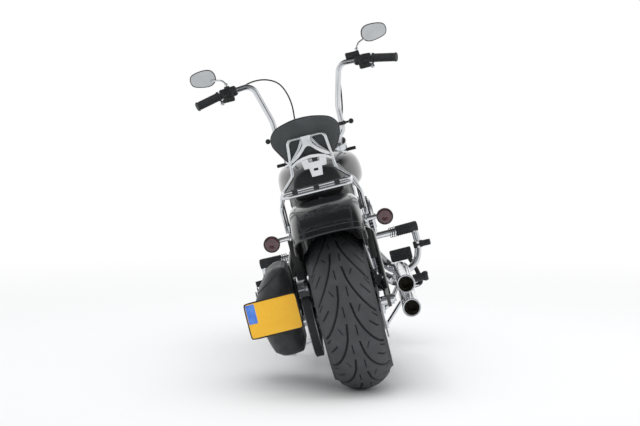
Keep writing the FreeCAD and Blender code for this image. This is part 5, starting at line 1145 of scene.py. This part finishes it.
# %% Headlamp
lamp = Vector((0, 1447, 850))
outside = [(0, -66), (22, -63), (45, -50), (63, -28), (72, -4), (73, 40)]
inside = [(70, 40), (69, -2), (60, -25), (42, -46), (20, -59), (0, -61)]
rim_line = [(69, 39), (74, 38), (77, 42), (77, 54), (73, 59), (69, 60), (68, 56)]
reflector = [(0, -34), (24, -30), (46, -12), (60, 14), (69, 44), (68, 46), (58, 16), (44, -10), (23, -27),
             (0, -31)]
bulb = [(0, -30), (7, -30), (7, 8), (5, 14), (0, 16)]
lens = [(0, 68), (24, 67), (46, 63), (60, 59), (68.6, 54), (68.6, 51), (59, 56), (45, 60), (24, 64), (0, 65)]
bowl, bright, glass = bmesh.new(), bmesh.new(), bmesh.new()
turn(bowl, outside + inside, lamp, Y, 64)
block(bowl, (50, 16, 62), fork_point(0, STEM + 52, 570), 4, FORK_TURN)
block(bowl, (46, 66, 12), fork_point(0, STEM + 84, 590), 3, FORK_TURN)
turn(bright, rim_line, lamp, Y, 72, closed=True)
turn(bright, reflector, lamp, Y, 64)
turn(bright, bulb, lamp, Y, 24)
dome(bright, lamp + Vector((0, 50, 76)), Z, 4)
turn(glass, lens, lamp, Y, 64)
piece(bowl, "headlamp_bowl", "fork", lacquer, ("headlamp",))
piece(bright, "headlamp_reflector", "fork", chrome)
piece(glass, "headlamp_lens", "fork", clear_glass)

# %% Fork seals, caps and screws
LEG = 115
along, forward = (FORK_TURN @ Z).normalized(), (FORK_TURN @ Y).normalized()
seals, caps = bmesh.new(), bmesh.new()
for side in SIDES:
    turn(seals, [(24.8, 0), (30, 0), (31, 2), (31, 8), (28, 13), (24.8, 14)], fork_point(side * LEG, 0, 372),
         along, 40, closed=True)
    top = fork_point(side * LEG, 0, 758.5)
    turn(caps, [(0, 0), (23, 0), (24.5, 2), (24.5, 6), (21, 10), (0, 10)], top, along, 40)
    turn(caps, [(0, 9), (13, 9), (13, 17), (11, 19), (0, 19)], top, along, 6)
    for height in (515, 722):
        dome(caps, touch("triple_clamps", fork_point(side * LEG, 120, height), -forward), forward, 6)
    for height in (300, 340):
        ring(caps, 31.2, 1.6, fork_point(side * LEG, 0, height), along, 48)
    riser = fork_point(side * 45, STEM + 30, 739)
    turn(caps, [(15, 0), (19, 0), (20, 2), (20, 5), (15, 7)], riser, along, 32, closed=True)
nut = touch("triple_clamps", fork_point(0, STEM, 900), -along)
bolt(caps, nut - along, along, 17, 13)
piece(seals, "fork_seals", "fork", rubber)
piece(caps, "fork_caps", "fork", chrome)

# %% [markdown]
# The meter on the tank's dash has a pale enamel face with generic ticks, no figures, a needle and a domed
# glass. The filler cap beside it has a knurled edge.

# %% Meter and filler cap
DIAL_WAY, CAP_WAY = Vector((0, -0.12, 1)).normalized(), Vector((0.35, 0.1, 1))
base, dial_turn, cap_turn = Vector((0, 1010, 898)), facing(DIAL_WAY), facing(CAP_WAY)
face, marks, rim, glass = bmesh.new(), bmesh.new(), bmesh.new(), bmesh.new()
turn(face, [(0, 44.4), (46, 44.4), (46, 43.4), (0, 43.4)], base, DIAL_WAY, 56)
for step in range(31):
    angle = math.radians(-135 + step * 9)
    tall = 9 if step % 5 == 0 else 5
    out = 42 - tall / 2
    spot = base + dial_turn @ Vector((math.sin(angle) * out, math.cos(angle) * out, 44.6))
    block(marks, (1.2, tall, 0.5), spot, 0, dial_turn @ Matrix.Rotation(-angle, 4, "Z"))
block(marks, (1.6, 36, 0.8), base + dial_turn @ Vector((-11, -11, 45.6)), 0.3,
      dial_turn @ Matrix.Rotation(math.radians(135), 4, "Z"), 2)
turn(marks, [(0, 44), (5, 44), (5, 46.5), (0, 47)], base, DIAL_WAY, 24)
turn(rim, [(46, 42), (52.6, 42), (53.4, 44), (52, 49), (49, 50.5), (46, 49)], base, DIAL_WAY, 64, closed=True)
turn(glass, [(0, 50.5), (24, 50), (46.5, 48), (46.5, 47), (24, 49), (0, 49.5)], base, DIAL_WAY, 48)
piece(face, "meter_face", "frame", dial_face)
piece(marks, "meter_marks", "frame", alloy)
piece(rim, "meter_rim", "frame", chrome)
piece(glass, "meter_glass", "frame", clear_glass)
bm = bmesh.new()
cap = touch("fuel_tank", (86, 1060, 1200), -Z)
turn(bm, [(0, -6), (34, -6), (34, 2), (31, 7), (24, 10), (0, 11)], cap, CAP_WAY, 56)
for angle in spaced(24):
    spot = cap + cap_turn @ Vector((33.5 * math.cos(angle), 33.5 * math.sin(angle), -1))
    block(bm, (3, 5, 6), spot, 1, cap_turn @ Matrix.Rotation(angle + math.pi / 2, 4, "Z"), 2)
piece(bm, "filler_cap", "frame", chrome)

# %% Caliper screws and the seat's fixing screw
bm = bmesh.new()
for y in (84, 136):
    dome(bm, touch("rear_caliper", (OUT, y, 409), -X), X, 6)
piece(bm, "frame_screws", "frame", chrome)
bm = bmesh.new()
for height in (86, 144):
    dome(bm, touch("front_caliper", fork_point(-OUT, -110, height), X), -X, 7)
piece(bm, "caliper_screws", "fork", steel)
bm = bmesh.new()
dome(bm, touch("rear_fender", (0, -60, 1100), (0, 0.1, -1)), (0, -0.2, 1), 9, 7)
piece(bm, "seat_screw", "frame", engine_black)

# %% [markdown]
# ## Clutch cable and brake line
# Both are hoses held in their fittings. The middle lines repeat the CAD's own corner points as smooth
# curves. The clutch cable runs from the handlebar to the engine, so it has to give when the bars turn;
# here it rides on no body and keeps the place it is built in.

# %% Cables
CLUTCH_CABLE = [
    (-260.8, 1250.1, 1299.2), (-226, 1256, 1314), (-152, 1262, 1316), (-88, 1264, 1286), (-60, 1268, 1232),
    (-49, 1274, 1168), (-54, 1286, 1105), (-62, 1304, 1020), (-62, 1322, 945), (-58, 1330, 850),
    (-62, 1334, 719), (-84, 1296, 620), (-104, 1256, 480), (-117, 1234, 380), (-119, 1208, 315),
    (-84, 1120, 292), (-70, 1066.9, 290),
]
BRAKE_LINE = [
    (261.2, 1250, 1299), (233, 1256, 1300), (208, 1262, 1286), (194, 1267, 1260), (190, 1269, 1205),
    (180, 1270, 1135), (168, 1280, 1076), *(fork_point(*spot) for spot in (
        (146, 52, 792), (112, 56, 738), (82, 36, 690), (66, 14, 640), (64, 27, 517), (48, 36, 462),
        (-24, 40, 440), (-80, -30, 412), (-90, -62, 330), (-84, -92, 250), (-62, -106, 210),
        (-62, -106, 170.3))),
]
HOSE = 3.5  # radius of both
bm = bmesh.new()
pipe(bm, BRAKE_LINE, HOSE, 10)
piece(bm, "brake_line_hose", "fork", rubber, ("brake_line",))
bm = bmesh.new()
pipe(bm, CLUTCH_CABLE, HOSE, 10)
clutch = piece(bm, "clutch_cable_hose", None, rubber, ("clutch_cable",))
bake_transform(clutch)
for name, line in (("brake line", BRAKE_LINE), ("clutch cable", CLUTCH_CABLE)):
    print(name, round(sum((Vector(b) - Vector(a)).length for a, b in zip(line, line[1:]))), "mm")

# %% [markdown]
# ## Studio
# The photograph was taken on a white sweep: the floor is pale grey near the tyre and fades to white
# behind. The even light comes from the room itself, with a soft lamp overhead for the shadow under the
# machine. What chrome and lacquer mirror is another matter: a bright horizon all round, a dark ceiling,
# and a dark camera side. That contrast is what makes black paint look black and polished metal look
# polished.

# %% Floor
floor_mesh = bmesh.new()
bmesh.ops.create_grid(floor_mesh, x_segments=1, y_segments=1, size=60)
floor_data = bpy.data.meshes.new("floor")
floor_mesh.to_mesh(floor_data)
floor_mesh.free()
floor = bpy.data.objects.new("floor", floor_data)
bpy.context.scene.collection.objects.link(floor)
paper, tree, shader, place = finish("paper_floor", Specular_IOR_Level=0.1, Roughness=0.9)
shader.inputs["Base Color"].default_value = linear("#e9eaeb")
spot = add(tree, "ShaderNodeVectorMath", {0: place}, {1: (0, 1.2, 0)}, operation="ADD").outputs["Vector"]
away = add(tree, "ShaderNodeVectorMath", {0: spot}, operation="LENGTH").outputs["Value"]
faded = add(tree, "ShaderNodeMapRange", {"Value": away}, {1: 1.0, 2: 6.5}, interpolation_type="SMOOTHSTEP")
rays = add(tree, "ShaderNodeLightPath").outputs
seen = rays["Is Camera Ray"]
for ray in ("Is Glossy Ray", "Is Transmission Ray"):
    seen = add(tree, "ShaderNodeMath", {0: seen, 1: rays[ray]}, operation="MAXIMUM").outputs[0]
share = add(tree, "ShaderNodeMath", {0: seen, 1: faded.outputs["Result"]}, operation="MULTIPLY").outputs[0]
white = add(tree, "ShaderNodeEmission", values={"Color": (1, 1, 1, 1), "Strength": 1.0}).outputs[0]
blend = add(tree, "ShaderNodeMixShader", {0: share, 1: shader.outputs[0], 2: white}).outputs[0]
tree.links.new(blend, tree.nodes["Material Output"].inputs["Surface"])
floor_data.materials.append(paper)

# %% Room and lamp
world = bpy.data.worlds.new("studio")
bpy.context.scene.world = world
world.use_nodes = True
tree = world.node_tree
way = add(tree, "ShaderNodeTexCoord").outputs["Generated"]
parts = add(tree, "ShaderNodeSeparateXYZ", {0: way}).outputs
behind = add(tree, "ShaderNodeMapRange", {"Value": parts["Y"]}, {1: -0.95, 2: -0.45, 3: 0.22, 4: 1.0},
             interpolation_type="SMOOTHSTEP").outputs["Result"]
ceiling = add(tree, "ShaderNodeMapRange", {"Value": parts["Z"]}, {1: 0.45, 2: 0.85, 3: 1.0, 4: 0.06},
              interpolation_type="SMOOTHSTEP").outputs["Result"]
mirrored = add(tree, "ShaderNodeMath", {0: behind, 1: ceiling}, operation="MULTIPLY").outputs[0]
rays = add(tree, "ShaderNodeLightPath").outputs
sharp = add(tree, "ShaderNodeMath", {0: rays["Is Glossy Ray"], 1: rays["Is Transmission Ray"]},
            operation="MAXIMUM").outputs[0]
lit = add(tree, "ShaderNodeMix", {"Factor": sharp, "B": mirrored}, {"A": 0.92}).outputs["Result"]
light = add(tree, "ShaderNodeMix", {"Factor": rays["Is Camera Ray"], "A": lit}, {"B": 1.0}).outputs["Result"]
backdrop = tree.nodes["Background"]
backdrop.inputs["Color"].default_value = (1, 1, 1, 1)
tree.links.new(light, backdrop.inputs["Strength"])

lamp = bpy.data.objects.new("softbox", bpy.data.lights.new("softbox", "AREA"))
bpy.context.scene.collection.objects.link(lamp)
lamp.data.shape, lamp.data.size, lamp.data.size_y = "RECTANGLE", 3.0, 4.0
lamp.data.energy = 70
lamp.location = (0.4, -0.2, 3.6)
lamp.rotation_euler = (0, math.radians(6), 0)
lamp.visible_glossy = False
